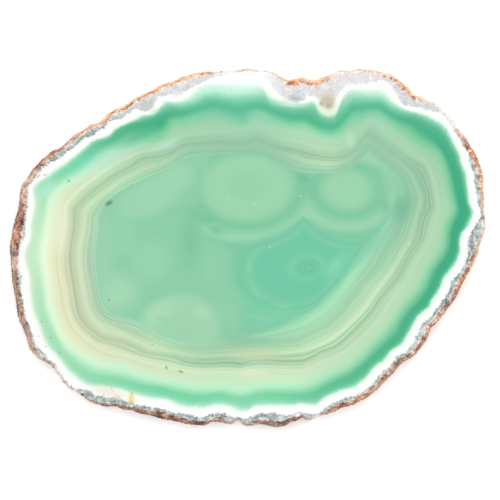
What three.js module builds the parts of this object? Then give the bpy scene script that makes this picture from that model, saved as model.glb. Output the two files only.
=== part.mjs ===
// Agate slice: one slab sawn across a rounded nodule and polished on both faces, lying face up.
// Millimetres, +Z up, X along the slice. The origin is under the middle of it, on the lower face.

import * as THREE from 'three';

// Driving dimensions in millimetres.
const LENGTH = 130;
const THICKNESS = 5.5;

// The nodule tapered where it was sawn, so the skin leans outwards going down. The lean is the
// distance, in millimetres, that the lower edge stands out past the upper one.
const LEAN_MEAN = 0.8;
const LEAN_SWING = 0.3;
const LEAN_TOWARDS = THREE.MathUtils.degToRad(190);
const LEAN_CURVE = 1.4;

// At the lower left the skin has flaked off along a shallow hollow, which left an upright edge.
const FLAKE_TOWARDS = THREE.MathUtils.degToRad(215);
const FLAKE_HALF_WIDTH = THREE.MathUtils.degToRad(9);

// Lumps and pits of the weathered skin, in millimetres.
const LUMP_DEPTH = 0.22;
const LUMP_WAVES = 14;
const FEWEST_LUMPS_AROUND = 18;
const MOST_LUMPS_AROUND = 95;
const PIT_COUNT = 120;
const SMALLEST_PIT = 0.9;
const LARGEST_PIT = 2.2;
const PIT_DEPTH = 0.45;
const SKIN_SEED = 20611;

// How finely the rim is faceted.
const STEPS_AROUND = 420;
const WALL_BANDS = 6;
const CURVE_DIVISIONS = 4200;

// The lower edge of the rim, read clockwise from the left end in a 500 by 500 picture taken square
// on: x to the right and y downwards. The curve through these points runs all the way round.
const RIM_PIXELS = [
  [9, 250], [10, 240], [12, 230], [14.5, 220], [17, 210], [19, 199], [19.5, 190], [21, 184],
  [26.5, 178], [31, 170], [38, 162], [45.5, 156], [51, 150.5], [61.5, 146.5], [66, 140.5],
  [74, 134.5], [84, 128.5], [90, 124], [97, 123], [103, 118.5], [109, 112], [117, 107.5],
  [126, 103], [135, 97], [145, 93], [155, 87.5], [165, 82.5], [175, 79.5], [185, 75], [195, 72.5],
  [205, 70.5], [215, 72], [220, 70.5], [237, 70], [250, 67.5], [258, 69.5], [274, 71.5],
  [281, 76], [287, 79.5], [294, 78.5], [302, 77], [315, 80], [321, 77.5], [331, 73.5], [338, 70],
  [352, 70], [362, 68], [374, 70], [390, 73], [399, 79], [408, 86.5], [414, 94], [423, 97],
  [437, 103.5], [445, 110], [452, 118], [458, 127], [467, 138.5], [473, 147], [477, 155],
  [480.5, 165], [483.5, 175], [483.5, 186], [484.5, 198], [485, 212], [486, 224], [484, 234],
  [480, 246], [478.5, 254], [475, 262], [469.5, 274], [463, 284], [457, 296], [453, 303],
  [448.5, 309], [444, 316], [437, 324], [431, 328], [429.5, 334], [427, 340], [421, 349],
  [413, 357], [403, 363], [398.5, 368], [390, 377.5], [380.5, 387], [369, 397], [360, 402],
  [353, 405.5], [344, 407.5], [332, 413.5], [318, 417.5], [309, 421], [306, 421], [302, 417.5],
  [298, 421], [291, 422.5], [286, 426], [277, 428], [266, 425.5], [258, 425], [247, 426.5],
  [242.5, 425], [240, 421], [235.5, 420.5], [232.5, 424.5], [224, 424], [215, 422.5], [211, 423],
  [206, 426], [197, 425.5], [185, 424.5], [175, 422.5], [166, 420], [157, 418], [147, 415.5],
  [133, 412.5], [123, 410.5], [118, 407.5], [105, 407], [94, 404], [83, 397.5], [76, 391.5],
  [69, 388.5], [62, 381], [55, 370.5], [49.5, 364.5], [42, 361], [31.5, 352.5], [27.5, 344],
  [24.5, 335], [19, 323], [17, 315], [16, 306], [13.5, 294], [12, 285], [11, 272], [10, 260],
];

// The rim as evenly spaced points, turned to run anticlockwise, scaled to the real length and
// centred on the origin.
function rimPoints() {
  const upright = RIM_PIXELS.map(([x, y]) => new THREE.Vector3(x, -y, 0)).reverse();
  const curve = new THREE.CatmullRomCurve3(upright, true, 'centripetal');
  curve.arcLengthDivisions = CURVE_DIVISIONS;
  const points = curve.getSpacedPoints(STEPS_AROUND).slice(0, STEPS_AROUND);
  const box = new THREE.Box3().setFromPoints(points);
  const centre = box.getCenter(new THREE.Vector3());
  const scale = LENGTH / (box.max.x - box.min.x);
  return points.map((point) => point.sub(centre).multiplyScalar(scale));
}

// The direction across the rim into the stone at each point, from its two neighbours.
function inwardDirections(points) {
  return points.map((point, i) => {
    const before = points[(i + STEPS_AROUND - 1) % STEPS_AROUND];
    const after = points[(i + 1) % STEPS_AROUND];
    return new THREE.Vector3(before.y - after.y, after.x - before.x, 0).normalize();
  });
}

// Random numbers from 0 to 1 that are the same each time.
function seededRandom(seed) {
  let state = seed;
  return () => {
    state = (Math.imul(state, 1664525) + 1013904223) >>> 0;
    return state / 2 ** 32;
  };
}

// A flake's depth of effect from 0 to 1, greatest at its middle.
function flakeAt(bearing) {
  const away = Math.abs(THREE.MathUtils.euclideanModulo(bearing - FLAKE_TOWARDS + Math.PI,
    2 * Math.PI) - Math.PI);
  return 1 - THREE.MathUtils.smoothstep(away, 0.5 * FLAKE_HALF_WIDTH, FLAKE_HALF_WIDTH);
}

// How far the lower edge stands out past the upper one, by the bearing from the middle.
function leanAt(bearing) {
  const lean = LEAN_MEAN + LEAN_SWING * Math.cos(bearing - LEAN_TOWARDS);
  return lean * (1 - flakeAt(bearing));
}

// The lumps are waves that close on themselves around the rim, slanted by height at random.
function makeLumps(random) {
  const waves = Array.from({ length: LUMP_WAVES }, () => ({
    around: Math.round(THREE.MathUtils.lerp(FEWEST_LUMPS_AROUND, MOST_LUMPS_AROUND, random())),
    upwards: THREE.MathUtils.lerp(-1, 1, random()) * Math.PI,
    phase: 2 * Math.PI * random(),
  }));
  return (turn, height) => {
    const sum = waves.reduce((total, wave) => total
      + Math.sin(2 * Math.PI * wave.around * turn + wave.upwards * height + wave.phase), 0);
    return 0.5 + 0.5 * Math.tanh(sum / Math.sqrt(LUMP_WAVES));
  };
}

// The pits are shallow round bowls scattered over the skin.
function makePits(random, girth) {
  const pits = Array.from({ length: PIT_COUNT }, () => ({
    along: girth * random(),
    height: THICKNESS * random(),
    radius: THREE.MathUtils.lerp(SMALLEST_PIT, LARGEST_PIT, random() ** 2),
  }));
  return (along, height) => pits.reduce((deepest, pit) => {
    const straight = Math.abs(along - pit.along);
    const apart = Math.hypot(Math.min(straight, girth - straight), height - pit.height);
    const bowl = Math.max(0, 1 - (apart / pit.radius) ** 2);
    return Math.max(deepest, bowl * pit.radius / LARGEST_PIT);
  }, 0);
}

// Rings of corners from the lower face to the upper one. Each ring is drawn in from the rim by
// the lean and by the skin's lumps and pits, so the skin never stands outside the rim.
function wallRings() {
  const rim = rimPoints();
  const inward = inwardDirections(rim);
  const girth = rim.reduce((sum, point, i) => sum
    + point.distanceTo(rim[(i + 1) % STEPS_AROUND]), 0);
  const random = seededRandom(SKIN_SEED);
  const lumps = makeLumps(random);
  const pits = makePits(random, girth);
  const rings = [];
  for (let band = 0; band <= WALL_BANDS; band += 1) {
    const level = band / WALL_BANDS;
    rings.push(rim.map((point, i) => {
      const turn = i / STEPS_AROUND;
      const bearing = Math.atan2(point.y, point.x);
      const drawnIn = leanAt(bearing) * level ** LEAN_CURVE
        + LUMP_DEPTH * lumps(turn, level)
        + PIT_DEPTH * pits(turn * girth, level * THICKNESS);
      return point.clone().addScaledVector(inward[i], drawnIn).setZ(level * THICKNESS);
    }));
  }
  return rings;
}

// The flat faces are the lowest and highest rings filled in, and the wall joins ring to ring.
function sliceGeometry() {
  const rings = wallRings();
  const corners = rings.flat();
  const index = [];
  for (let band = 0; band < WALL_BANDS; band += 1) {
    for (let i = 0; i < STEPS_AROUND; i += 1) {
      const next = (i + 1) % STEPS_AROUND;
      const low = band * STEPS_AROUND;
      const high = low + STEPS_AROUND;
      index.push(low + i, low + next, high + next);
      index.push(low + i, high + next, high + i);
    }
  }
  const top = WALL_BANDS * STEPS_AROUND;
  THREE.ShapeUtils.triangulateShape(rings[0], []).forEach(([a, b, c]) => index.push(a, c, b));
  THREE.ShapeUtils.triangulateShape(rings[WALL_BANDS], [])
    .forEach(([a, b, c]) => index.push(top + a, top + b, top + c));
  const geometry = new THREE.BufferGeometry().setFromPoints(corners);
  geometry.setIndex(index);
  return fitToLength(geometry);
}

// The lumps take a little off the ends, so the slice is centred and brought back to its length.
function fitToLength(geometry) {
  geometry.computeBoundingBox();
  const middle = geometry.boundingBox.getCenter(new THREE.Vector3());
  const size = geometry.boundingBox.getSize(new THREE.Vector3());
  geometry.translate(-middle.x, -middle.y, 0);
  geometry.scale(LENGTH / size.x, LENGTH / size.x, 1);
  geometry.computeVertexNormals();
  return geometry;
}

// Chalcedony dyed green, sawn and polished to a waxy gloss.
function dyedAgate() {
  return new THREE.MeshStandardMaterial({ color: '#9bd3b2', roughness: 0.18, metalness: 0 });
}

function agateSlice() {
  const slice = new THREE.Mesh(sliceGeometry(), dyedAgate());
  slice.name = 'agate_slice';
  return slice;
}

const model = new THREE.Group();
model.add(agateSlice());

export default model;
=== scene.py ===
"""Visual model of an agate slice, laid polished face up on a pale studio floor, seen from above."""

import logging
from dataclasses import dataclass
from enum import Enum, IntEnum

import bpy
import numpy as np
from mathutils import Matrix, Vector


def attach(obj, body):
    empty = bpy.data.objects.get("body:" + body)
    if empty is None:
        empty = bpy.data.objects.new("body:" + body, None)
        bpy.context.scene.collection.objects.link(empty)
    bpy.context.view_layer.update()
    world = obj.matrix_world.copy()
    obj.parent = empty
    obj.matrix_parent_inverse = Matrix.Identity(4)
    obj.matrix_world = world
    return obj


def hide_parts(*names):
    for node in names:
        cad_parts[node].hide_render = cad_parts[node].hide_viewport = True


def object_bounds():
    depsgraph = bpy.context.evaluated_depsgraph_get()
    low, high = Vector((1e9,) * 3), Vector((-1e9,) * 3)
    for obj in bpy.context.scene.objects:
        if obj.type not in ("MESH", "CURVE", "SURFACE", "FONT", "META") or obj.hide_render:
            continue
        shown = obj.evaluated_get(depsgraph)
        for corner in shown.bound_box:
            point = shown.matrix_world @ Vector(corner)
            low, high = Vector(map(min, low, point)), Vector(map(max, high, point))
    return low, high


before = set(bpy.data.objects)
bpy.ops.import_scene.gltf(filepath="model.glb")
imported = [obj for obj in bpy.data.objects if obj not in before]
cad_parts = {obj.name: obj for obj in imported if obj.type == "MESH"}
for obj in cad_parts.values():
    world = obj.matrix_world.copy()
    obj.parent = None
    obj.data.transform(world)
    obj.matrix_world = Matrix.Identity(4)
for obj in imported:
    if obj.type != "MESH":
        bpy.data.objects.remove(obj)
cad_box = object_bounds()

log = logging.getLogger("agate_slice")

FULL_TURN = 2.0 * np.pi

# The least distance from one growth line to the next, in metres.
LINE_GAP = 0.00012

CAD_NODE = "agate_slice"


@dataclass(frozen=True)
class PictureScale:
    """How a point read in the 500 by 500 picture, x right and y down, becomes a place on the stone.

    Attributes:
        metre: Metres on the stone for one picture point.
        middle: The picture point over the slice's own origin.
    """

    metre: float = 0.130 / 477.0
    middle: tuple[float, float] = (247.5, 247.75)

    def place(self, points: object) -> np.ndarray:
        """Turn picture points into metres on the slice.

        Args:
            points: Picture points, one (x, y) each.

        Returns:
            An array of (x, y) in metres, y upwards.
        """
        points = np.asarray(points, float).reshape(-1, 2)
        return (points - self.middle) * (self.metre, -self.metre)


PICTURE = PictureScale()


class Level(IntEnum):
    """The growth lines of the stone in order, from the rim to the heart of the filled hollow."""

    RIM = 0
    SKIN = 1
    QUARTZ = 2
    WHITE = 3
    GREEN = 4
    MINT = 5
    TAN = 6
    DARK = 7
    PALE = 8
    SECOND = 9
    FIELD = 10
    POOL = 11
    EYE_RING = 12
    EYE = 13
    HEART = 14


class Side(Enum):
    """Which way a sawn face looks."""

    UP = 1
    DOWN = -1


# The middle of the filled hollow, in picture points. Bearings and distances are taken from it.
HEART_POINT = (309.0, 268.0)

# Growth lines, clockwise from the left, in picture points. They were first read in the picture.
# One program then moved the white, green and mint ones, to bring the green band of a render onto
# the picture's. Another rounded all the lines to half points and thinned the long ones.
QUARTZ_LINE = (
    (17, 256), (17, 251), (20, 241), (24, 241), (25, 236), (26, 226), (26, 214), (28, 197),
    (27, 193), (25, 190), (36, 174.5), (44, 168), (48, 163.5), (52, 161.5), (58, 160), (61, 157.5),
    (63, 154), (66, 151.5), (70, 150.5), (74, 148.5), (79, 142), (82, 140), (85, 137), (89, 137),
    (92, 138), (95, 135.5), (95.5, 132), (101, 129), (104.5, 128.5), (109, 121.5), (117, 119),
    (120, 119.5), (128, 113.5), (131, 112), (134, 108.5), (137, 107), (140, 110.5), (143, 112),
    (147, 111.5), (151, 108.5), (155, 103.5), (157, 98), (160, 96), (165, 96), (170, 94.5),
    (174, 96), (179, 95.5), (184, 93.5), (192, 88), (207, 80), (215, 77), (228, 74.5), (240, 73.5),
    (250, 72), (258, 73.5), (264, 76), (268, 80), (275, 91), (279, 95), (289, 101), (294, 103),
    (300, 102.5), (304, 101), (305, 97), (308, 95), (319, 98), (320, 103), (322, 107), (329, 111),
    (332, 109), (337, 94), (347, 84), (365, 83.5), (372, 82.5), (380, 80), (386, 81), (390, 84),
    (396, 93), (398, 97), (399, 101), (406, 106), (421, 108), (426, 110.5), (432, 111.5),
    (438, 111.5), (443, 113), (450, 123), (455, 128), (458, 133), (464, 147), (467, 151),
    (468.5, 156), (469, 162), (473, 171), (474.5, 176), (473, 181), (475.5, 187), (476.5, 192),
    (477.5, 203), (479, 207), (481, 209.5), (481.5, 214), (480, 218), (477, 222), (469.5, 236),
    (468, 240), (469, 251), (466, 261), (463.5, 266), (460.5, 270), (459, 275), (455, 277.5),
    (450, 284), (450, 288), (447, 295), (443.5, 299), (440, 302), (436.5, 310), (427.5, 320),
    (423, 323), (420, 330), (417, 334), (415, 338), (414, 342), (409.5, 347), (408, 351),
    (405, 353.5), (401, 355.5), (397, 356.5), (392.5, 364), (386, 370), (382.5, 371.5),
    (380.5, 375), (370, 386), (365.5, 390), (356, 396), (351, 396.5), (345, 398), (331, 404.5),
    (327, 407), (320, 413), (311, 414), (303, 412.5), (299, 412.5), (295, 414), (285, 415),
    (272, 412.5), (267, 413.5), (262, 413), (246, 418.5), (235, 418), (230, 416.5), (226, 414.5),
    (216, 413), (206, 415.5), (203, 418), (198, 417.5), (184, 413.5), (178, 412.5), (174, 414),
    (165, 409), (154, 408), (143, 405.5), (131, 404), (118, 397.5), (113, 396.5), (106, 399),
    (100, 396.5), (95, 395.5), (92, 392), (87, 389), (77, 389.5), (70, 386), (60, 376), (41, 350),
    (37, 346), (34, 342), (28, 326), (27, 321), (24.5, 316), (23.5, 305), (21, 296), (21, 283),
    (22, 278), (20.5, 272), (18.5, 267), (17.5, 261),
)
WHITE_LINE = (
    (25.5, 255), (26.5, 249), (29.5, 243), (31.5, 237), (32, 222), (34, 215), (35.5, 206),
    (35, 198), (32.5, 190), (35.5, 184), (46.5, 177), (51.5, 173), (67, 162.5), (82, 150.5),
    (91, 142), (96, 139.5), (106, 137), (111, 134.5), (114, 130), (119.5, 126.5), (137, 119),
    (141.5, 116), (152.5, 114.5), (166, 101.5), (176.5, 102.5), (183, 100.5), (189.5, 97.5),
    (200, 87.5), (212.5, 84.5), (251.5, 88), (258, 87), (261.5, 87.5), (264, 89.5), (267, 94),
    (269.5, 98), (273.5, 99), (278, 101), (292.5, 104), (306, 103.5), (311, 101.5), (315.5, 103),
    (318.5, 109.5), (322.5, 113), (328, 115.5), (334.5, 114), (338, 109.5), (342, 97.5),
    (350, 90.5), (376.5, 91), (381.5, 92), (387, 96.5), (391.5, 101.5), (397.5, 105.5),
    (403.5, 109), (409.5, 111), (418, 113), (427, 116), (439, 122.5), (447, 129.5), (455.5, 147.5),
    (458.5, 152), (460, 157), (460.5, 162), (464.5, 171), (466, 177), (469, 203), (473.5, 212.5),
    (467.5, 227), (463, 231), (460.5, 236), (459.5, 241), (460, 251), (456.5, 261), (453.5, 266),
    (444, 277), (440.5, 287), (435.5, 295), (431.5, 300), (430, 305), (428.5, 308), (422.5, 311.5),
    (417.5, 316.5), (403.5, 341.5), (401, 344.5), (390.5, 351), (383, 361.5), (378.5, 363.5),
    (373.5, 368), (365.5, 378), (354.5, 387), (340, 390.5), (326, 396.5), (317, 404), (313, 405),
    (300, 403), (294, 405), (269.5, 405), (254.5, 406), (247.5, 410.5), (240, 411), (236, 408.5),
    (230, 406), (223, 404.5), (215, 404.5), (202, 408), (196, 406.5), (188, 407), (180, 405.5),
    (169, 400), (161.5, 398.5), (145.5, 397), (131.5, 393), (117.5, 388), (90, 386), (85, 383.5),
    (79.5, 379.5), (68, 369.5), (55, 352.5), (50, 348.5), (44, 337.5), (40, 325), (34.5, 313),
    (33, 306), (31, 290), (31, 280), (28.5, 268), (26.5, 262),
)
GREEN_LINE = (
    (35.5, 255), (44.5, 205.5), (45.5, 194.5), (50, 185.5), (57.5, 178), (83, 160.5), (97.5, 148),
    (102, 145.5), (111.5, 142), (121, 133), (133, 128), (141.5, 127), (152, 127.5), (158, 124.5),
    (167.5, 116), (173.5, 114), (183, 113), (211.5, 103.5), (221, 104.5), (240.5, 109),
    (250.5, 106), (258.5, 105.5), (265.5, 107.5), (280.5, 114), (292.5, 117.5), (305, 117.5),
    (318, 124.5), (325, 127), (333, 127.5), (340, 124), (350, 109), (356.5, 107), (363.5, 106),
    (372, 105.5), (380.5, 106.5), (393, 115.5), (400.5, 119), (412, 121.5), (423, 130.5),
    (435, 139), (442.5, 148.5), (448.5, 159.5), (453.5, 175), (459.5, 204.5), (462, 212.5),
    (456.5, 222), (452.5, 232), (452, 245), (448.5, 256), (441, 266), (434.5, 277), (431.5, 286),
    (427, 294), (421, 303), (411, 312.5), (403.5, 322.5), (399, 333.5), (391, 342), (372, 358),
    (362, 368), (351, 375.5), (330, 385.5), (318, 392), (305, 396), (285, 396), (265, 394.5),
    (255.5, 396), (245.5, 399.5), (235, 398.5), (220, 395), (204.5, 397), (189.5, 396.5),
    (174.5, 393.5), (159.5, 389), (140, 386), (121, 380.5), (106.5, 378), (93, 376.5), (79.5, 369),
    (69, 358.5), (60, 348.5), (47.5, 323), (43, 310), (41.5, 290), (38.5, 275),
)
MINT_LINE = (
    (44.5, 255), (49.5, 219.5), (50, 205.5), (51, 197.5), (58.5, 190.5), (67, 184), (84, 172.5),
    (103.5, 155.5), (142, 141.5), (152, 142.5), (162.5, 138.5), (167.5, 131), (171.5, 123.5),
    (181, 122), (191.5, 119.5), (207, 114.5), (214, 113.5), (220, 114), (240.5, 121.5),
    (245.5, 120), (250, 115), (255, 112.5), (260, 112.5), (265, 114.5), (275.5, 121.5),
    (280.5, 123.5), (290.5, 126.5), (297.5, 126), (305, 126.5), (315, 132), (325, 135.5),
    (330, 136), (335, 135), (339.5, 133), (344.5, 129.5), (350, 121), (354, 118.5), (369, 113.5),
    (374.5, 113), (379.5, 114.5), (387.5, 121.5), (392.5, 124.5), (415.5, 141.5), (424.5, 146.5),
    (434, 150.5), (440, 156), (443.5, 165), (447, 177), (449, 189), (454, 208.5), (446, 226),
    (444, 246), (439, 256), (429.5, 269), (420.5, 288), (403.5, 306.5), (395.5, 319.5),
    (385.5, 331.5), (362.5, 356), (348.5, 367), (330, 374.5), (315.5, 381.5), (307.5, 384),
    (300, 385), (268.5, 384), (254.5, 385), (243.5, 389.5), (223, 386), (199, 387), (150, 378),
    (139.5, 374.5), (129, 370), (117, 366.5), (100.5, 365.5), (85, 357.5), (71.5, 349),
    (63.5, 340), (57.5, 329), (52.5, 315.5), (49, 304), (46.5, 272),
)
TAN_LINE = (
    (57, 254.5), (61, 234.5), (62.5, 219), (63, 205.5), (65.5, 201), (71, 194.5), (74, 190),
    (89, 179), (95.5, 173), (101.5, 170), (105.5, 166), (114, 161.5), (140, 149.5), (150, 148),
    (160, 145.5), (168, 141), (175, 136), (182, 133), (192, 131), (216, 129), (240, 131.5),
    (250, 129), (257, 126), (263, 128), (270, 132), (278, 135), (290, 137.5), (300, 138),
    (320, 145), (330, 146), (340, 144.5), (347, 141), (352, 136.5), (366, 122), (372, 123),
    (384, 131), (391, 135), (410, 148), (419, 152.5), (426, 157), (431, 162), (437.5, 184),
    (442, 209), (436, 226), (431, 245), (425, 254), (416, 266), (411.5, 276), (400.5, 290.5),
    (393.5, 298.5), (379, 321), (372, 330), (363, 339.5), (346.5, 353), (321.5, 364.5),
    (314.5, 368.5), (300, 374), (269, 373.5), (255.5, 374), (243, 376), (200, 376), (169, 370),
    (154, 368), (137, 363), (129, 359), (111.5, 355.5), (100, 352), (94, 348.5), (86, 342.5),
    (73, 330), (69, 323), (63, 307), (61, 288.5), (58.5, 278.5), (56.5, 265.5),
)
DARK_LINE = (
    (69.5, 258), (70, 251.5), (74, 226), (74.5, 209), (77, 206), (81, 203), (83, 200),
    (87.5, 195.5), (96, 187.5), (104, 182.5), (109, 177.5), (128.5, 167), (134.5, 163), (139, 159),
    (146, 157), (162, 155.5), (170, 152.5), (180, 146), (185, 144), (220, 141.5), (232, 142),
    (240, 143), (247, 142.5), (252, 140), (257, 138.5), (262, 140), (266, 142.5), (278, 147),
    (298, 150), (312, 154), (320, 155.5), (330, 157), (338, 157), (345, 156), (350, 153.5),
    (358, 146), (367.5, 131.5), (379, 142), (393, 152.5), (411, 165), (418.5, 168.5),
    (421.5, 172.5), (425, 180), (429, 193.5), (429.5, 201), (431, 208.5), (428.5, 211.5),
    (423.5, 222.5), (421, 238.5), (418.5, 243.5), (414, 248.5), (410.5, 253.5), (399.5, 276),
    (380, 299), (377, 304.5), (372.5, 311), (364.5, 320), (345, 339.5), (335, 347), (327, 350),
    (319.5, 352), (315.5, 355.5), (304, 361), (300, 361.5), (284.5, 361.5), (269, 360.5),
    (254, 360.5), (249, 361.5), (246, 363), (241, 364.5), (231, 363), (223, 363), (207.5, 364.5),
    (192.5, 363.5), (186, 362.5), (180, 359.5), (173, 357.5), (165.5, 356), (157.5, 355.5),
    (150, 353.5), (144.5, 353), (131, 346), (123, 343), (115.5, 341), (104.5, 340.5), (89, 329),
    (80, 318.5), (77.5, 311.5), (76, 304), (71.5, 275.5), (70.5, 265.5),
)
PALE_LINE = (
    (78, 256), (78.5, 246), (83, 227), (84, 211.5), (89, 204.5), (109, 190), (117, 183),
    (124.5, 178.5), (146, 167.5), (155, 165.5), (165, 162.5), (172, 158.5), (180, 152.5),
    (187, 149.5), (200, 148), (230, 147), (245, 147.5), (255, 145.5), (270, 150.5), (297, 157),
    (305, 160.5), (315, 162.5), (325, 163.5), (335, 163.5), (343, 161.5), (350, 158.5), (356, 154),
    (361, 148), (365, 141.5), (368, 138), (371, 141.5), (378, 147.5), (394, 158.5), (409, 170.5),
    (414, 177), (418.5, 186), (421.5, 193.5), (421.5, 201), (420, 209), (417.5, 215),
    (411.5, 238.5), (404, 250), (399.5, 258), (386, 277.5), (379, 286), (364.5, 306.5),
    (357.5, 314.5), (349.5, 322.5), (339.5, 331.5), (330.5, 338.5), (321.5, 343.5), (311.5, 347.5),
    (300, 350.5), (284.5, 352.5), (261.5, 353), (243, 354.5), (223, 354.5), (200, 356), (186, 354),
    (177, 351), (160, 349), (150, 347), (128.5, 335.5), (117, 333), (106, 331.5), (98.5, 325.5),
    (92.5, 319), (86, 307.5), (83, 293), (78.5, 266),
)
SECOND_LINE = (
    (89.5, 256), (92.5, 231.5), (93.5, 216), (100, 203.5), (105, 198.5), (116.5, 190.5),
    (131.5, 182), (159, 170.5), (170, 165), (187, 154.5), (195, 152.5), (225, 151), (240, 152),
    (258, 151.5), (265, 154), (280, 161), (297, 167.5), (305, 169.5), (325, 170.5), (335, 170),
    (343, 168), (350, 165), (356, 160), (365, 148), (368, 145.5), (395, 168), (401, 175),
    (406, 184), (409, 194), (410, 203.5), (407.5, 213.5), (405.5, 218.5), (402, 231), (399, 237.5),
    (394, 244), (390.5, 250), (388, 258), (383.5, 266), (364.5, 287.5), (359, 296.5),
    (349.5, 306.5), (343, 315.5), (328.5, 327.5), (297, 342.5), (282, 343), (249, 343), (233, 344),
    (223, 344), (200, 348), (186, 347), (172, 343), (158, 337.5), (143, 330), (140, 327.5),
    (132.5, 324.5), (124.5, 322), (117, 320.5), (111, 320), (106, 317), (101.5, 313),
    (97.5, 307.5), (95, 298.5), (89, 261.5),
)
FIELD_LINE = (
    (97, 256), (97.5, 248), (99, 240), (100, 230), (100, 221), (102, 211.5), (107, 203),
    (114, 196), (132, 185), (175, 166), (184, 160.5), (192, 157), (203, 156), (215, 156),
    (228, 155), (240, 156), (252, 155.5), (262, 156.5), (279, 165.5), (297, 172), (306, 173.5),
    (330, 174), (341, 172.5), (350, 169.5), (357, 164), (366, 153), (369, 152), (374, 156),
    (388, 170), (394, 178), (398, 188), (398, 198), (394, 206), (378, 229), (365, 244),
    (355, 259.5), (337, 285), (321, 302), (312, 309), (302, 315), (290, 321), (276, 327),
    (262, 331), (235, 337), (222, 337), (200, 343), (186, 342), (172, 339), (160, 333), (142, 322),
    (133, 319), (115, 314.5), (108, 310), (103, 303), (100, 293), (97, 266),
)
POOL_LINE = (
    (240, 275), (241, 262), (246, 251), (256, 246), (268, 243), (280, 239), (291, 232), (299, 223),
    (304, 219), (316, 232), (327, 239), (340, 243), (350, 244), (361, 243.5), (361, 247),
    (351, 262), (340, 277), (327, 292), (318, 301), (308, 307), (297, 309.5), (285, 309),
    (272, 307), (260, 302), (250, 295), (243, 286),
)
EYE_RING_LINE = (
    (289, 266), (295, 258), (305, 255), (316, 256), (323, 262), (322, 270), (314, 277), (303, 279),
    (293, 275),
)
EYE_LINE = (
    (301, 268), (305, 264), (311, 262.5), (317, 265), (318, 269), (314, 273), (307, 274.5),
    (302, 272),
)

# The lines of the levels from the quartz in to the eye.
READ_LINES = (
    QUARTZ_LINE, WHITE_LINE, GREEN_LINE, MINT_LINE, TAN_LINE, DARK_LINE, PALE_LINE, SECOND_LINE,
    FIELD_LINE, POOL_LINE, EYE_RING_LINE, EYE_LINE)


def linear(hex_colour: str, share: float = 1.0) -> tuple[float, float, float, float]:
    """Turn an sRGB hex colour into linear light.

    Args:
        hex_colour: Six hex digits with a leading #.
        share: What is multiplied in afterwards, 1 for the colour as it is written.

    Returns:
        Linear red, green, blue and an alpha of 1.
    """
    parts = np.array([int(hex_colour[i:i + 2], 16) for i in (1, 3, 5)]) / 255.0
    light = np.where(parts <= 0.04045, parts / 12.92, ((parts + 0.055) / 1.055) ** 2.4)
    return (*(light * share).tolist(), 1.0)


# Settings for a node that mixes two colours, for one that leaves values past its ends to what
# reads it, and for one that eases a value in and out, which holds the ends by itself.
COLOUR_MIX = {"out": 2, "data_type": "RGBA"}
OPEN = {"clamp": False}
EASED = {"interpolation_type": "SMOOTHSTEP", **OPEN}


# What a node takes as a colour: another node's output, or a fixed one in linear light.
Colour = bpy.types.NodeSocket | tuple[float, float, float, float]


class Shader:
    """The nodes of one material, or of the sky, while they are being joined up."""

    def __init__(self, owner: bpy.types.Material | bpy.types.World) -> None:
        """Start with no nodes.

        Args:
            owner: The new material or world that the nodes are for.
        """
        owner.use_nodes = True
        self.owner = owner
        self.tree = owner.node_tree
        self.tree.nodes.clear()

    def add(self, kind: str, sockets: dict | tuple = (), out: int | str = 0,
            **settings: object) -> bpy.types.NodeSocket | None:
        """Add a node with its settings and links.

        Args:
            kind: The node's type, without the leading ShaderNode.
            sockets: What goes into the inputs: a tuple fills the first ones in order, and a dict
                goes by index or name. A socket is linked, and any other value is set.
            out: Which output is wanted.
            **settings: Properties of the node.

        Returns:
            The wanted output, or None for a node that has no output.
        """
        node = self.tree.nodes.new("ShaderNode" + kind)
        for key, value in settings.items():
            setattr(node, key, value)
        inputs = sockets if isinstance(sockets, dict) else dict(enumerate(sockets))
        for key, value in inputs.items():
            if isinstance(value, bpy.types.NodeSocket):
                self.tree.links.new(value, node.inputs[key])
            else:
                node.inputs[key].default_value = value
        return node.outputs[out] if node.outputs else None


@dataclass(frozen=True)
class Palette:
    """Colours that follow one another as a value rises.

    Attributes:
        stops: (value, sRGB hex colour) pairs in rising order, at most 32.
    """

    stops: tuple[tuple[float, str], ...]

    def colour(self, shader: Shader, value: bpy.types.NodeSocket,
               share: float) -> bpy.types.NodeSocket:
        """Look a value's colour up.

        Args:
            shader: The material being made.
            value: The value that picks the colour.
            share: What the colours are multiplied by.

        Returns:
            The colour.
        """
        low, high = self.stops[0][0], self.stops[-1][0]
        place = shader.add("MapRange", (value, low, high), **OPEN)
        colour = shader.add("ValToRGB", {0: place})
        table = colour.node.color_ramp.elements
        table.remove(table[1])
        for index, (at, hex_colour) in enumerate(self.stops):
            spot = (at - low) / (high - low)
            stop = table[0] if index == 0 else table.new(spot)
            stop.position = spot
            stop.color = linear(hex_colour, share)
        return colour


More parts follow.
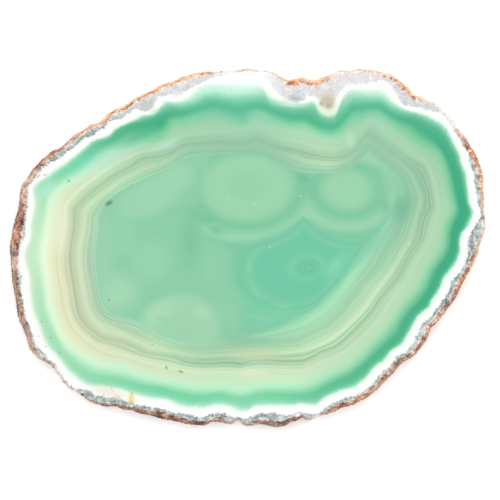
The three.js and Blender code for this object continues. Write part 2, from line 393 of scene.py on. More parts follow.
@dataclass(frozen=True)
class Oval:
    """An oval area of the stone, in picture points.

    Attributes:
        x: Middle, to the right.
        y: Middle, downwards.
        wide: Half its length.
        high: Half its breadth.
        turn: How far it is turned anticlockwise, in degrees.
    """

    x: float
    y: float
    wide: float
    high: float
    turn: float = 0.0

    def own(self, shader: Shader, spot: bpy.types.NodeSocket) -> bpy.types.NodeSocket:
        """Read a point in the oval's own axes.

        Args:
            shader: The material being made.
            spot: The point, in metres on the stone.

        Returns:
            The point turned and stretched so that the oval becomes a circle of radius 1.
        """
        middle = PICTURE.place((self.x, self.y))[0]
        turn = (0.0, 0.0, np.radians(self.turn))
        radii = (self.wide * PICTURE.metre, self.high * PICTURE.metre, 1.0)
        return shader.add("Mapping", (spot, (*middle, 0.0), turn, radii), vector_type="TEXTURE")

    def depth(self, shader: Shader, spot: bpy.types.NodeSocket) -> bpy.types.NodeSocket:
        """How deep inside the oval a point lies.

        Args:
            shader: The material being made.
            spot: The point, in metres on the stone.

        Returns:
            1 at the oval's middle, falling to 0 at its edge and staying so outside.
        """
        return shader.add("TexGradient", {0: self.own(shader, spot)}, out="Fac",
                          gradient_type="SPHERICAL")

    def gap(self, shader: Shader, spot: bpy.types.NodeSocket) -> bpy.types.NodeSocket:
        """How far outside the oval a point lies, in picture points, less than 0 inside.

        Args:
            shader: The material being made.
            spot: The point, in metres on the stone.

        Returns:
            (length in the oval's own axes - 1) times the oval's mean radius.
        """
        reach = shader.add("VectorMath", {0: self.own(shader, spot)}, out="Value",
                           operation="LENGTH")
        mean = float(np.sqrt(self.wide * self.high))
        return shader.add("Math", (reach, mean, -mean), operation="MULTIPLY_ADD")


@dataclass(frozen=True)
class Mark:
    """A small or soft mark in the stone.

    Attributes:
        colour: Its sRGB hex colour.
        strength: How much of its colour shows at its middle.
        soft: How much of its radius is a soft edge.
        ovals: Where it lies.
    """

    colour: str
    strength: float
    soft: float
    ovals: tuple[Oval, ...]

    def over(self, shader: Shader, spot: bpy.types.NodeSocket, colour: Colour,
             share: float) -> bpy.types.NodeSocket:
        """Lay the mark over a colour.

        Args:
            shader: The material being made.
            spot: The point, in metres on the stone.
            colour: The colour so far.
            share: What the mark's own colour is multiplied by.

        Returns:
            The colour with the mark in it.
        """
        deepest = self.ovals[0].depth(shader, spot)
        for oval in self.ovals[1:]:
            deepest = shader.add("Math", (deepest, oval.depth(shader, spot)), operation="MAXIMUM")
        cover = shader.add("MapRange", (deepest, 0.0, self.soft, 0.0, self.strength), **EASED)
        return shader.add("Mix", {0: cover, 6: colour, 7: linear(self.colour, share)},
                          **COLOUR_MIX)


@dataclass(frozen=True)
class LobeGroup:
    """Round lobes that grew side by side, with growth lines round each.

    Attributes:
        lobes: The lobes' outlines.
        palette: Colours by the distance outside the nearest lobe, in picture points.
        merging: How softly the lines of two lobes join, in picture points.
    """

    lobes: tuple[Oval, ...]
    palette: Palette
    merging: float = 3.0

    def colour(self, shader: Shader, spot: bpy.types.NodeSocket,
               share: float) -> bpy.types.NodeSocket:
        """Colour the lobes and the stone round them.

        The smooth least of the lobes' gaps picks the colour, so lines run round each lobe and
        meet in a cusp between two.

        Args:
            shader: The material being made.
            spot: The point, in metres on the stone.
            share: What the colours are multiplied by.

        Returns:
            The colour.
        """
        gap = self.lobes[0].gap(shader, spot)
        for lobe in self.lobes[1:]:
            gap = shader.add("Math", (gap, lobe.gap(shader, spot), self.merging),
                             operation="SMOOTH_MIN")
        return self.palette.colour(shader, gap, share)


TOP_LOBES = LobeGroup(
    (Oval(247, 187, 48, 35, 2), Oval(347, 190, 27, 21, -4)),
    Palette(((-34.0, "#98D3AD"), (-20.0, "#9DD6AF"), (-10.0, "#9DD6B0"), (-5.0, "#9AD5AE"),
             (-1.0, "#90CFA9"), (4.0, "#82CAA2"), (8.0, "#84CBA4"), (12.0, "#8FD1AA"),
             (17.0, "#9CD6B2"), (21.0, "#9AD5B1"), (26.0, "#86CEAA"), (30.0, "#7FCCA7"),
             (52.0, "#80CFAB"))))

# The middle's left half: its ground, and over it the lobes and the stone between them.
LEFT_COLOUR = "#8FCFAB"
LEFT_MARKS = (
    Mark("#96D4B1", 0.9, 0.7, (Oval(124, 237, 19, 29, 4),)),
    Mark("#9ED6B3", 0.95, 0.5, (Oval(150, 198, 46, 22, 24),)),
    Mark("#9FD7B3", 0.9, 0.7, (Oval(178, 177, 27, 19, 10),)),
    Mark("#98D5AF", 0.9, 0.7, (Oval(151, 262, 28, 29, 4),)),
    Mark("#A6DAB6", 0.95, 0.8, (Oval(117, 292, 32, 29),)),
    Mark("#9DD2B0", 0.95, 0.8, (Oval(103, 252, 19, 58),)),
    Mark("#98D3AE", 0.85, 0.5, (Oval(196, 326, 50, 44),)),
    Mark("#8DCDA8", 0.95, 0.35, (Oval(187, 324, 52, 44),)),
    Mark("#A3D6B2", 0.95, 0.3, (Oval(182, 326, 45, 38),)),
    Mark("#B0DDBA", 0.85, 0.9, (Oval(158, 313, 28, 16, 30), Oval(202, 313, 14, 9, -30))),
    Mark("#A3CFAD", 0.5, 1.0, (Oval(180, 338, 30, 16),)),
)

# The seams between lobes and the deep patches of the middle.
SOFT_MARKS = (
    Mark("#81C7A2", 0.95, 1.0, (Oval(190, 240, 18, 44), Oval(197, 214, 20, 17))),
    Mark("#7CC6A1", 0.85, 1.0, (Oval(206, 220, 15, 9), Oval(216, 230, 17, 7, -18))),
    Mark("#9BD3B0", 0.6, 1.0, (Oval(203, 163, 12, 26, -8), Oval(166, 322, 22, 6, -34))),
    Mark("#8ACBA6", 0.3, 1.0, (Oval(199, 178, 3.4, 26, -8),)),
    Mark("#8BCCA6", 0.6, 1.0, (Oval(174, 212, 20, 7, 3), Oval(160, 232, 14, 8))),
    Mark("#7EC6A2", 0.9, 1.0, (Oval(310, 186, 13, 20),)),
    Mark("#70C09B", 0.8, 1.0, (Oval(304, 178, 10, 10),)),
    Mark("#86C9A5", 0.6, 1.0, (Oval(301, 167, 18, 6, -10),)),
    Mark("#95D2AF", 0.9, 1.0, (Oval(210, 270, 12, 30), Oval(222, 309, 13, 18, 30))),
    Mark("#9BD8B3", 0.8, 1.0, (Oval(281, 232, 27, 6, 24), Oval(250, 243, 14, 7, -30))),
    Mark("#8CCBA7", 0.7, 1.0, (Oval(376, 184, 6, 26, 16),)),
    Mark("#94CEAA", 0.8, 0.8, (Oval(391, 184, 12, 19, 20),)),
    Mark("#82C6A5", 0.9, 1.0, (Oval(385, 206, 9, 15, 10), Oval(402, 196, 7, 20, -10))),
    Mark("#A6D3B2", 0.8, 0.9, (Oval(368, 157, 16, 10),)),
    Mark("#AEDAB7", 0.8, 0.9, (Oval(332, 159, 22, 9),)),
    Mark("#87C8A6", 0.5, 1.0, (Oval(378, 172, 13, 6, -35),)),
    Mark("#8CCEAD", 0.7, 1.0, (Oval(387, 219, 9, 12, 50),)),
    Mark("#86CAA6", 0.8, 1.0, (Oval(252, 329, 34, 7, 2),)),
    Mark("#94D2AE", 0.6, 1.0, (Oval(262, 318, 22, 5, -12),)),
    Mark("#98D9B2", 0.7, 1.0, (Oval(306, 318, 30, 7, 18),)),
)

# Arcs of paler stone round the left and the lower side of the filled hollow.
POOL_MARKS = (
    Mark("#78C9A4", 0.7, 1.0, (Oval(240.5, 274, 3.5, 17, -6),)),
    Mark("#8AD2AD", 0.8, 1.0, (Oval(249, 267, 5, 13, -5), Oval(257, 293, 6, 14, 35),
                              Oval(281, 306, 16, 4.5, -8))),
    Mark("#8ADAB7", 0.85, 1.0, (Oval(335, 266, 26, 11, 52),)),
)

# Marks on all the banded stone: streaks where a band took more dye or less, then dark specks, the
# brown cracks at the upper left, and painted glints, white dots where small pits catch the light.
SMALL_MARKS = (
    Mark("#7ACFAC", 0.75, 0.9, (Oval(344, 274, 23, 2.6, 53),)),
    Mark("#84D0AC", 0.8, 1.0, (Oval(370, 247, 34, 6, 54),)),
    Mark("#C0E9D8", 0.55, 1.0, (Oval(112, 157, 64, 14, 33), Oval(166, 145, 22, 8, 18))),
    Mark("#80E0C8", 0.4, 1.0, (Oval(82, 164, 42, 9, 36),)),
    Mark("#BBF2E0", 0.6, 1.0, (Oval(46, 191, 18, 9, 56),)),
    Mark("#BFE6C6", 0.75, 1.0, (Oval(350, 140, 9, 14, 12),)),
    Mark("#EEF4DC", 0.6, 1.0, (Oval(61, 226, 13, 44),)),
    Mark("#E6EDCC", 0.65, 1.0, (Oval(252, 373, 26, 8),)),
    Mark("#30B584", 0.6, 1.0, (Oval(139, 136, 36, 11, 27), Oval(160, 124, 13, 10))),
    Mark("#C9DBB3", 0.75, 0.9, (Oval(254, 355, 40, 11),)),
    Mark("#90C6A5", 0.75, 0.9, (Oval(240, 339, 38, 6.5), Oval(418, 178, 4.5, 22, 12))),
    Mark("#A8CDAC", 0.65, 1.0, (Oval(130, 331, 34, 6, -28), Oval(192, 348, 46, 6.5, -4),
                               Oval(101, 207, 28, 6, 50))),
    Mark("#7DBF9E", 0.95, 0.9, (Oval(401, 209, 15, 23, -18),)),
    Mark("#4C8878", 0.85, 0.9, (Oval(109.2, 203.2, 6.4, 3.4, 33),)),
    Mark("#4A7C68", 0.6, 1.0, (Oval(69, 181, 2.4, 2.4), Oval(109, 300, 1.8, 1.8),
                              Oval(152.5, 344.5, 1.4, 1.4), Oval(42, 321.5, 1.4, 1.4))),
    Mark("#6C7C58", 0.7, 0.9, (Oval(166.5, 367.5, 2.0, 2.6, 10), Oval(181, 371.5, 4.2, 1.8, -18))),
    Mark("#4E7050", 0.45, 0.9, (Oval(51, 337.5, 1.7, 1.7), Oval(60, 352.5, 1.4, 1.4),
                               Oval(46, 346, 1.4, 1.4), Oval(39, 336, 1.3, 1.3))),
    Mark("#3A3D36", 0.8, 0.8, (Oval(132, 393, 1.5, 1.5),)),
    Mark("#8A6A4C", 0.6, 0.9, (Oval(38.5, 176.5, 4.5, 1.3, 45), Oval(45.5, 175, 3.4, 1.0, 10))),
    # Painted glints: white dots where small pits in the polish catch the light.
    Mark("#FFFFFF", 0.4, 0.9, (Oval(270, 247, 1.4, 1.4), Oval(408.5, 244, 1.5, 1.5),
                              Oval(254, 203.5, 1.3, 1.3), Oval(300.5, 196, 1.3, 1.7),
                              Oval(228, 197, 1.2, 1.2), Oval(245.5, 202, 1.2, 1.2))),
)

# A plug of brown stone that runs in from the quartz, a grey knot, and stains and a yellow grain at
# the lower left.
QUARTZ_MARKS = (
    Mark("#C6F0DB", 0.85, 0.9, (Oval(155, 111.5, 8, 3.6, 28), Oval(292, 105, 20, 3.6, -3))),
    Mark("#DFF0D2", 0.85, 0.7, (Oval(328, 107, 13, 12.5),)),
    Mark("#DDEFDA", 0.8, 1.0, (Oval(285, 101, 9, 5),)),
    Mark("#DCD5CB", 0.8, 0.8, (Oval(327, 96, 14, 8),)),
    Mark("#CDC3B0", 0.9, 0.7, (Oval(327.5, 102, 10.5, 9),)),
    Mark("#B5AD95", 0.7, 0.9, (Oval(329, 106, 5, 5), Oval(321, 104, 3.5, 4))),
    Mark("#F8E4D4", 0.6, 1.0, (Oval(337, 78, 6, 4.5), Oval(353, 77, 8, 4))),
    Mark("#CFD0CE", 0.85, 0.6, (Oval(147, 107, 9.5, 6.0, 20),)),
    Mark("#B3BDB8", 0.8, 0.9, (Oval(296, 98.5, 11, 4.5),)),
    Mark("#F4EEDB", 0.8, 0.8, (Oval(108, 392, 27, 8, -16),)),
    Mark("#B39B70", 0.5, 0.9, (Oval(92, 394, 10, 0.9, -24), Oval(104, 396, 0.9, 5),
                              Oval(118, 396, 6, 0.8, -30), Oval(112, 389, 0.8, 4, 20))),
    Mark("#F3DF9A", 0.9, 0.7, (Oval(131.5, 398, 4.4, 8.5),)),
    Mark("#BDB084", 0.7, 0.9, (Oval(131.5, 403, 5.5, 3.2, 8),)),
)

# A deep crack under the lower-left rim drawn as a black painted shadow line, a black speck at the
# lower left, and a rust speck at the top.
CRUST_MARKS = (
    # Painted shadow: a black line for the shade in a deep crack under the lower-left rim.
    Mark("#1A120C", 1.0, 0.5, (Oval(156.5, 416.5, 10, 1.9, -10), Oval(82.5, 394.5, 2.4, 1.8))),
    Mark("#B5654A", 0.7, 0.8, (Oval(221, 71.5, 1.6, 1.3),)),
)


# Most values of a noise lie between these, closely or loosely.
NOISE_SPREAD = (0.32, 0.68)
LOOSE_SPREAD = (0.3, 0.7)

# Quartz grains shake the growth lines. There are this many to a metre, each two thirds of a
# millimetre wide. From the first level to the second, the shaking falls from the third number to
# the fourth.
SHAKING_GRAINS = 1500.0
OUTER_SHAKE = (1.7, 3.0, 1.5, 0.28)
INNER_SHAKE = (3.0, 5.5, 1.0, 0.12)


def ragged_growth(shader: Shader, spot: bpy.types.NodeSocket) -> bpy.types.NodeSocket:
    """Read the growth level with its lines shaken, most of all in the grainy outer layers.

    Args:
        shader: The material being made.
        spot: The point, in metres on the stone.

    Returns:
        The growth level.
    """
    level = shader.add("Attribute", out="Fac", attribute_name="growth")
    noise = shader.add("TexNoise", {"Vector": spot, "Scale": SHAKING_GRAINS, "Detail": 3.0,
                                    "Roughness": 0.65})
    outer = shader.add("MapRange", (level, *OUTER_SHAKE), **EASED)
    inner = shader.add("MapRange", (level, *INNER_SHAKE), **EASED)
    reach = shader.add("Math", (outer, inner), operation="MULTIPLY")
    shake = shader.add("Math", (noise, -0.5), operation="ADD")
    return shader.add("Math", (shake, reach, level), operation="MULTIPLY_ADD")


@dataclass(frozen=True)
class Rind:
    """The two grainy layers outside the banded stone.

    Outermost is the nodule's crust, chalcedony stained by iron oxide, which is dark brown where
    it is thick, rust orange where it is thin, and bleached where it has worn. Its colour is also
    painted light: brighter orange along the top as a painted glow, darker brown along the bottom
    and left as painted shade. Under it is a sugary layer of quartz grains, blue-grey where they
    are clear and milky at the top.

    A pattern's size is given as how many of its patches lie side by side in a metre. A span is two
    growth levels, or two strengths of rust, and then the values that are wanted at each.

    Attributes:
        grain: How wide a grain is, in metres. Real ones are about half as wide, too fine to show.
        blotches: Blotches of rust to a metre, each about 4 mm wide.
        clouds: Darker and lighter clouds of the crust to a metre, each about 3 mm wide.
        patches: Patches of bright grains to a metre, each about 2 mm wide.
        stain: How much a blotch takes from the rust or adds to it.
        shade: How much a cloud takes from the brightness or adds to it.
        grain_light: How much the grains' brightness differs from one to the next.
        patch_light: How much a patch adds to the brightness.
        glow_fringe: Colour of a painted glow, pale yellow, on the thin edge of the crust where the
            light falls at the top.
        glow_fringe_span: Where the painted glow ends, and how much of it shows.
        glow_fringe_rust: The values of the rust attribute, with its painted glow, between which the
            painted glow comes up.
        outer_light: Where the outer quartz is lighter, and by how much.
        inner_dark: Where the inner quartz is darker, and by how much.
        crust_end: The growth levels between which the crust gives way to quartz.
        quartz_end: The growth levels between which quartz gives way to the white layer.
        brown: Colours of the thick crust by a grain's brightness, also used as painted shade along
            the bottom and left.
        orange: Colours of the thin crust, also used as a painted glow along the top.
        bleached: Colours of the worn crust.
        clear: Colours of clear quartz grains by a grain's brightness.
        milky: Colours of milky quartz.
    """

    grain: float = 0.0006
    blotches: float = 240.0
    clouds: float = 330.0
    patches: float = 520.0
    stain: tuple[float, float] = (-0.4, 0.4)
    shade: tuple[float, float] = (-0.3, 0.24)
    grain_light: float = 0.6
    patch_light: tuple[float, float] = (0.0, 0.75)
    glow_fringe: str = "#FBDD9C"
    glow_fringe_span: tuple[float, ...] = (0.12, 0.38, 0.58, 0.0)
    glow_fringe_rust: tuple[float, float] = (0.5, 0.9)
    outer_light: tuple[float, ...] = (1.0, 1.35, 0.24, 0.0)
    inner_dark: tuple[float, ...] = (1.5, 1.95, 0.0, -0.22)
    crust_end: tuple[float, float] = (0.9, 1.08)
    quartz_end: tuple[float, float] = (1.9, 2.12)
    brown: Palette = Palette((
        (0.15, "#1B0D08"), (0.35, "#3B1C12"), (0.55, "#623523"), (0.75, "#824C34"),
        (0.95, "#AB7050"), (1.15, "#D8A98C")))
    orange: Palette = Palette((
        (0.15, "#8C4028"), (0.35, "#C76A40"), (0.55, "#E8905E"), (0.75, "#F6B484"),
        (0.95, "#FCDDBA"), (1.15, "#FFF8EC")))
    bleached: Palette = Palette((
        (0.15, "#A4907A"), (0.35, "#D6C8B4"), (0.55, "#EEE5D6"), (0.75, "#FAF6EC"),
        (0.95, "#FFFFFF")))
    clear: Palette = Palette((
        (0.1, "#707C76"), (0.35, "#8E9B97"), (0.58, "#A7B4B1"), (0.78, "#BBC7C4"),
        (0.98, "#D2DCDA"), (1.2, "#F8FAFA")))
    milky: Palette = Palette((
        (0.1, "#D2D3D6"), (0.5, "#E0E0E2"), (0.9, "#EAE9E9"), (1.25, "#FBFAFA")))

    def crust(self, shader: Shader, spot: bpy.types.NodeSocket, growth: bpy.types.NodeSocket,
              bright: bpy.types.NodeSocket, share: float) -> bpy.types.NodeSocket:
        """Colour the crust.

        Args:
            shader: The material being made.
            spot: The point, in metres on the stone.
            growth: The growth level.
            bright: Each grain's brightness.
            share: What the colours are multiplied by.

        Returns:
            Brown, orange or bleached grains, with a painted pale yellow glow on the edge where it
            is orange.
        """
        blotch = shader.add("TexNoise", {"Vector": spot, "Scale": self.blotches, "Detail": 3.0,
                                         "Roughness": 0.6})
        stain = shader.add("MapRange", (blotch, *NOISE_SPREAD, *self.stain))
        # The rust attribute is partly real rust and partly painted light: painted glow along the
        # top, painted shade along the bottom and left.
        depth = shader.add("Attribute", out="Fac", attribute_name="rust")
        rust = shader.add("Math", (depth, stain), operation="ADD", use_clamp=True)
        worn = shader.add("Attribute", out="Fac", attribute_name="worn")
        cloud = shader.add("TexNoise", {"Vector": spot, "Scale": self.clouds, "Detail": 2.0})
        shade = shader.add("MapRange", (cloud, *NOISE_SPREAD, *self.shade))
        bright = shader.add("Math", (bright, shade), operation="ADD")
        brown, orange, bleached = (palette.colour(shader, bright, share)
                                   for palette in (self.brown, self.orange, self.bleached))
        colour = shader.add("Mix", {0: rust, 6: brown, 7: orange}, **COLOUR_MIX)
        # Painted glow: a pale yellow edge on the crust where the light falls, at the top.
        edge = shader.add("MapRange", (growth, *self.glow_fringe_span), **EASED)
        lit_part = shader.add("MapRange", (depth, *self.glow_fringe_rust), **EASED)
        glow_fringe = shader.add("Math", (edge, lit_part), operation="MULTIPLY")
        colour = shader.add("Mix", {0: glow_fringe, 6: colour, 7: linear(self.glow_fringe, share)},
                            **COLOUR_MIX)
        return shader.add("Mix", {0: worn, 6: colour, 7: bleached}, **COLOUR_MIX)

    def quartz(self, shader: Shader, growth: bpy.types.NodeSocket,
               bright: bpy.types.NodeSocket, share: float) -> bpy.types.NodeSocket:
        """Colour the quartz layer.

        Args:
            shader: The material being made.
            growth: The growth level.
            bright: Each grain's brightness.
            share: What the colours are multiplied by.

        Returns:
            White and grey grains, darkest against the white layer inside it. Where the steel
            attribute is less than 0 the layer is blank white.
        """
        steel = shader.add("Attribute", out="Fac", attribute_name="steel")
        outer = shader.add("MapRange", (growth, *self.outer_light), **EASED)
        dark = shader.add("MapRange", (growth, *self.inner_dark), **EASED)
        value = shader.add("Math", (bright, outer), operation="ADD")
        deep = shader.add("Math", (value, dark), operation="ADD")
        colour = shader.add("Mix", {0: steel, 6: self.milky.colour(shader, value, share),
                                    7: self.clear.colour(shader, deep, share)}, **COLOUR_MIX)
        blank = shader.add("Math", (steel, -1.0), operation="MULTIPLY")
        return shader.add("Mix", {0: blank, 6: colour, 7: linear("#FFFFFF", share)},
                          **COLOUR_MIX)

    def over(self, shader: Shader, spot: bpy.types.NodeSocket, growth: bpy.types.NodeSocket,
             colour: Colour, share: float) -> bpy.types.NodeSocket:
        """Lay both layers over the stone inside them.

        Args:
            shader: The material being made.
            spot: The point, in metres on the stone.
            growth: The growth level.
            colour: The colour of the stone inside them.
            share: What the layers' colours are multiplied by.

        Returns:
            The colour with the layers on it.
        """
        cells = shader.add("TexVoronoi", {"Vector": spot, "Scale": 1.0 / self.grain}, out="Color")
        each = shader.add("SeparateColor", {0: cells}, out="Red")
        patch = shader.add("TexNoise", {"Vector": spot, "Scale": self.patches, "Detail": 4.0,
                                        "Roughness": 0.6})
        patch = shader.add("MapRange", (patch, *LOOSE_SPREAD, *self.patch_light))
        bright = shader.add("Math", (each, self.grain_light, patch), operation="MULTIPLY_ADD")
        within = shader.add("MapRange", (growth, *self.quartz_end), **EASED)
        colour = shader.add("Mix", {0: within, 6: self.quartz(shader, growth, bright, share),
                                    7: colour}, **COLOUR_MIX)
        for mark in QUARTZ_MARKS:
            colour = mark.over(shader, spot, colour, share)
        within = shader.add("MapRange", (growth, *self.crust_end), **EASED)
        colour = shader.add("Mix", {0: within, 6: self.crust(shader, spot, growth, bright, share),
                                    7: colour}, **COLOUR_MIX)
        for mark in CRUST_MARKS:
            colour = mark.over(shader, spot, colour, share)
        return colour


@dataclass(frozen=True)
class PolishedChalcedony:
    """Fibrous banded quartz, sawn, steeped in green dye and polished on a lap with tin oxide.

    The polish leaves a waxy gloss with a clear soft highlight. The dye goes only into the porous
    bands, so each growth line keeps its own depth of green, and the dense white and quartz layers
    by the rim take none.

    Attributes:
        name: The material's name.
        whiteness: The reflectance of the palest layer, which the hex colours are scaled to.
        ior: Chalcedony's refractive index.
        roughness: How dull the polish is.
        depth: How far light wanders in the stone, in metres.
        glow: How much of the light wanders in it.
        scatter: How far red, green and blue light wander, as shares of the depth.
        clouds: Clouds in the polish to a metre, each about 4 mm wide.
        dulling: What a cloud multiplies the roughness by, at its clearest and its dullest.
        middle_dye: The growth levels between which the dye of the middle lines takes over.
        inner_dye: The growth levels between which the dye of the inner lines takes over.
        veil_from: The growth levels between which the veil takes over from the haze.
        line_drift: How many times to a metre the fine lines change along their length, so that
            each keeps its shade for about 45 mm.
        line_rate: How many times they change from one growth line to the next.
        line_start: Where in the noise they start.
        line_span: The growth levels between which they come up, and how strong they are at each.
        veiled_lines: The haze between which they fade, and what is left of them at each.
        lobes_from: The growth levels between which the bands give way to the middle.
        pool_from: The growth levels between which the filled hollow begins.
        join_across: The picture points, to the right, between which the left lobes give way to
            the top ones.
        join_trim: How much sooner the change is over, in metres.
        join_down: The picture points, downwards, between which it moves to the right.
        washed: Colours along the growth lines where the stone took little of the dye.
        steeped: The same where it took some.
        vivid: The same where it took much.
        hazy: The same at the top, where the lines run into each other.
        pool: Colours of the filled hollow in the middle.
    """

    name: str = "polished_dyed_chalcedony"
    whiteness: float = 0.72
    ior: float = 1.54
    roughness: float = 0.17
    depth: float = 0.0005
    glow: float = 0.2
    scatter: tuple[float, float, float] = (1.0, 1.0, 0.9)
    clouds: float = 260.0
    dulling: tuple[float, float] = (0.8, 1.25)
    middle_dye: tuple[float, float] = (4.6, 5.7)
    inner_dye: tuple[float, float] = (6.5, 7.1)
    veil_from: tuple[float, float] = (5.4, 6.6)
    line_drift: float = 22.0
    line_rate: float = 6.5
    line_start: float = 3.3
    line_span: tuple[float, ...] = (5.2, 7.4, 0.0, 0.62)
    veiled_lines: tuple[float, ...] = (0.1, 0.8, 1.0, 0.18)
    lobes_from: tuple[float, float] = (9.72, 10.12)
    pool_from: tuple[float, float] = (10.88, 11.0)
    join_across: tuple[float, float] = (190.0, 232.0)
    join_trim: float = 0.006
    join_down: tuple[float, float] = (225.0, 265.0)
    washed: Palette = Palette((
        (2.0, "#FFFFFF"), (2.8, "#FBFEF6"), (3.0, "#DEF3D8"), (3.3, "#D2EFCB"), (4.0, "#D5F2CF"),
        (4.5, "#E5FCDC"), (5.0, "#F2FEE0"), (5.5, "#ECF0CC"), (6.0, "#E3E4BE"), (6.25, "#E8EAC5"),
        (6.65, "#D0D8B6"), (6.8, "#D4DBB8"), (6.9, "#CFD7B5"), (7.02, "#BEC8A8"), (7.1, "#BFCAA9"),
        (7.25, "#CCD6B4"), (7.4, "#CAD5B3"), (7.52, "#C0CDAC"), (7.62, "#C8D4B3"),
        (7.85, "#D8E3C5"), (8.1, "#D2DFC1"), (8.4, "#C5DABB"), (8.8, "#B6D4B3"), (9.0, "#A9CAAB"),
        (9.3, "#B0D7B8"), (9.7, "#A8D4B5"), (10.0, "#9ED0AF")))
    steeped: Palette = Palette((
        (2.0, "#FFFFFF"), (2.8, "#FCFFFC"), (3.0, "#DAF7E8"), (3.25, "#A2E4C4"), (3.6, "#80DAAC"),
        (4.1, "#7CD7A8"), (4.4, "#97E1B6"), (4.75, "#B4F0C8"), (5.0, "#C0F2CD"), (5.5, "#CCEDC9"),
        (6.0, "#CCE7C3"), (6.25, "#D2EDC8"), (6.5, "#CBE5C1"), (6.7, "#BBDCB8"), (6.92, "#BBDBB5"),
        (7.04, "#A8CCA6"), (7.11, "#A9CDA7"), (7.25, "#B8DAB2"), (7.4, "#B9DAB3"),
        (7.52, "#AFD1AC"), (7.62, "#B8DAB3"), (7.85, "#CBE8C0"), (8.1, "#CAE8BF"),
        (8.5, "#BCE1B8"), (8.8, "#B4DFB7"), (9.0, "#AAD8AF"), (9.3, "#AEE0B7"), (9.75, "#A6DEB8"),
        (10.0, "#9ED9B3")))
    vivid: Palette = Palette((
        (2.0, "#FFFFFF"), (2.85, "#FBFFFA"), (3.0, "#C2F0D3"), (3.2, "#6DC59C"), (3.45, "#42AE86"),
        (4.0, "#3FAC84"), (4.2, "#49B187"), (4.5, "#65BF93"), (4.8, "#79CB9D"), (5.0, "#82CEA0"),
        (5.4, "#96D1A9"), (6.0, "#A6D1AD"), (6.3, "#AFD6B4"), (6.6, "#A2CAAA"), (6.7, "#A0C9A9"),
        (6.9, "#9FC8A8"), (7.02, "#87B498"), (7.1, "#87B498"), (7.25, "#9AC5A6"), (7.4, "#9BC6A7"),
        (7.52, "#8CBA9D"), (7.62, "#99C5A6"), (7.9, "#A6CFAE"), (8.1, "#A1CCAB"), (8.3, "#9ACAA8"),
        (8.7, "#92C6A5"), (9.0, "#8BC3A2"), (9.3, "#96CEAC"), (9.7, "#92CFAC"), (10.0, "#8FCEAA")))
    hazy: Palette = Palette((
        (2.0, "#FFFFFF"), (2.6, "#FCFFFD"), (3.0, "#E6FCF2"), (3.3, "#C6F9E0"), (3.6, "#90DCBB"),
        (3.85, "#68C7A2"), (4.1, "#5ABD98"), (4.5, "#66C19D"), (4.9, "#7AC9A6"), (5.3, "#8CCFAB"),
        (5.7, "#A0D5B2"), (6.1, "#A3D4B3"), (6.5, "#9ECFAE"), (6.92, "#98C8A8"), (7.05, "#92C1A4"),
        (7.2, "#97C7A8"), (8.0, "#99CAAA"), (9.0, "#93C9A8"), (10.0, "#94CCAA")))
    pool: Palette = Palette((
        (10.0, "#8FD0AC"), (10.7, "#8CCEAA"), (10.9, "#80CDA8"), (11.0, "#77CAA5"),
        (11.07, "#7BCBA7"), (11.15, "#80CEAA"), (11.24, "#7DCDA9"), (11.33, "#75CAA7"),
        (11.45, "#73CAA8"), (11.85, "#74CBA8"), (12.0, "#7CD0AC"), (12.25, "#7CCFAA"),
        (12.6, "#76CAA6"), (12.9, "#72C4A0"), (13.0, "#7CCBA7"), (13.4, "#6FC2A0"),
        (14.0, "#7CCEAA")))

    def bands(self, shader: Shader, spot: bpy.types.NodeSocket,
              growth: bpy.types.NodeSocket) -> bpy.types.NodeSocket:
        """Colour the growth lines between the white layer and the middle.

        Three depths of dye, for the outer, the middle and the inner lines, pick how the palettes
        mix. Fine lines between the main ones come from noise that changes fast with the growth
        level and slowly along a line.

        Args:
            shader: The material being made.
            spot: The point, in metres on the stone.
            growth: The growth level, ragged a little.

        Returns:
            The colour.
        """
        washed, steeped, vivid, hazy = (
            palette.colour(shader, growth, self.whiteness)
            for palette in (self.washed, self.steeped, self.vivid, self.hazy))
        outer, middle, inner, haze, veil = (
            shader.add("Attribute", out="Fac", attribute_name=name)
            for name in ("dye_outer", "dye_middle", "dye_inner", "haze", "veil"))
        inwards = shader.add("MapRange", (growth, *self.middle_dye), **EASED)
        depth = shader.add("Mix", {0: inwards, 2: outer, 3: middle}, data_type="FLOAT")
        inwards = shader.add("MapRange", (growth, *self.inner_dye), **EASED)
        depth = shader.add("Mix", {0: inwards, 2: depth, 3: inner}, data_type="FLOAT")
        inwards = shader.add("MapRange", (growth, *self.veil_from), **EASED)
        haze = shader.add("Mix", {0: inwards, 2: haze, 3: veil}, data_type="FLOAT")
        half = shader.add("MapRange", (depth, 0.0, 0.5), **OPEN)
        rest = shader.add("MapRange", (depth, 0.5, 1.0), **OPEN)
        colour = shader.add("Mix", {0: half, 6: washed, 7: steeped}, **COLOUR_MIX)
        colour = shader.add("Mix", {0: rest, 6: colour, 7: vivid}, **COLOUR_MIX)
        colour = shader.add("Mix", {0: haze, 6: colour, 7: hazy}, **COLOUR_MIX)

        along = shader.add("VectorMath", {0: spot, "Scale": self.line_drift}, operation="SCALE")
        across = shader.add("Math", (growth, self.line_rate, self.line_start),
                            operation="MULTIPLY_ADD")
        fine = shader.add("TexNoise", {"Vector": along, "W": across, "Scale": 1.0, "Detail": 1.0},
                          noise_dimensions="4D")
        strength = shader.add("MapRange", (growth, *self.line_span), **EASED)
        clear = shader.add("MapRange", (haze, *self.veiled_lines))
        strength = shader.add("Math", (strength, clear), operation="MULTIPLY")
        shift = shader.add("Math", (fine, -0.5), operation="ADD")
        gain = shader.add("Math", (shift, strength, 1.0), operation="MULTIPLY_ADD")
        return shader.add("VectorMath", {0: colour, "Scale": gain}, operation="SCALE")

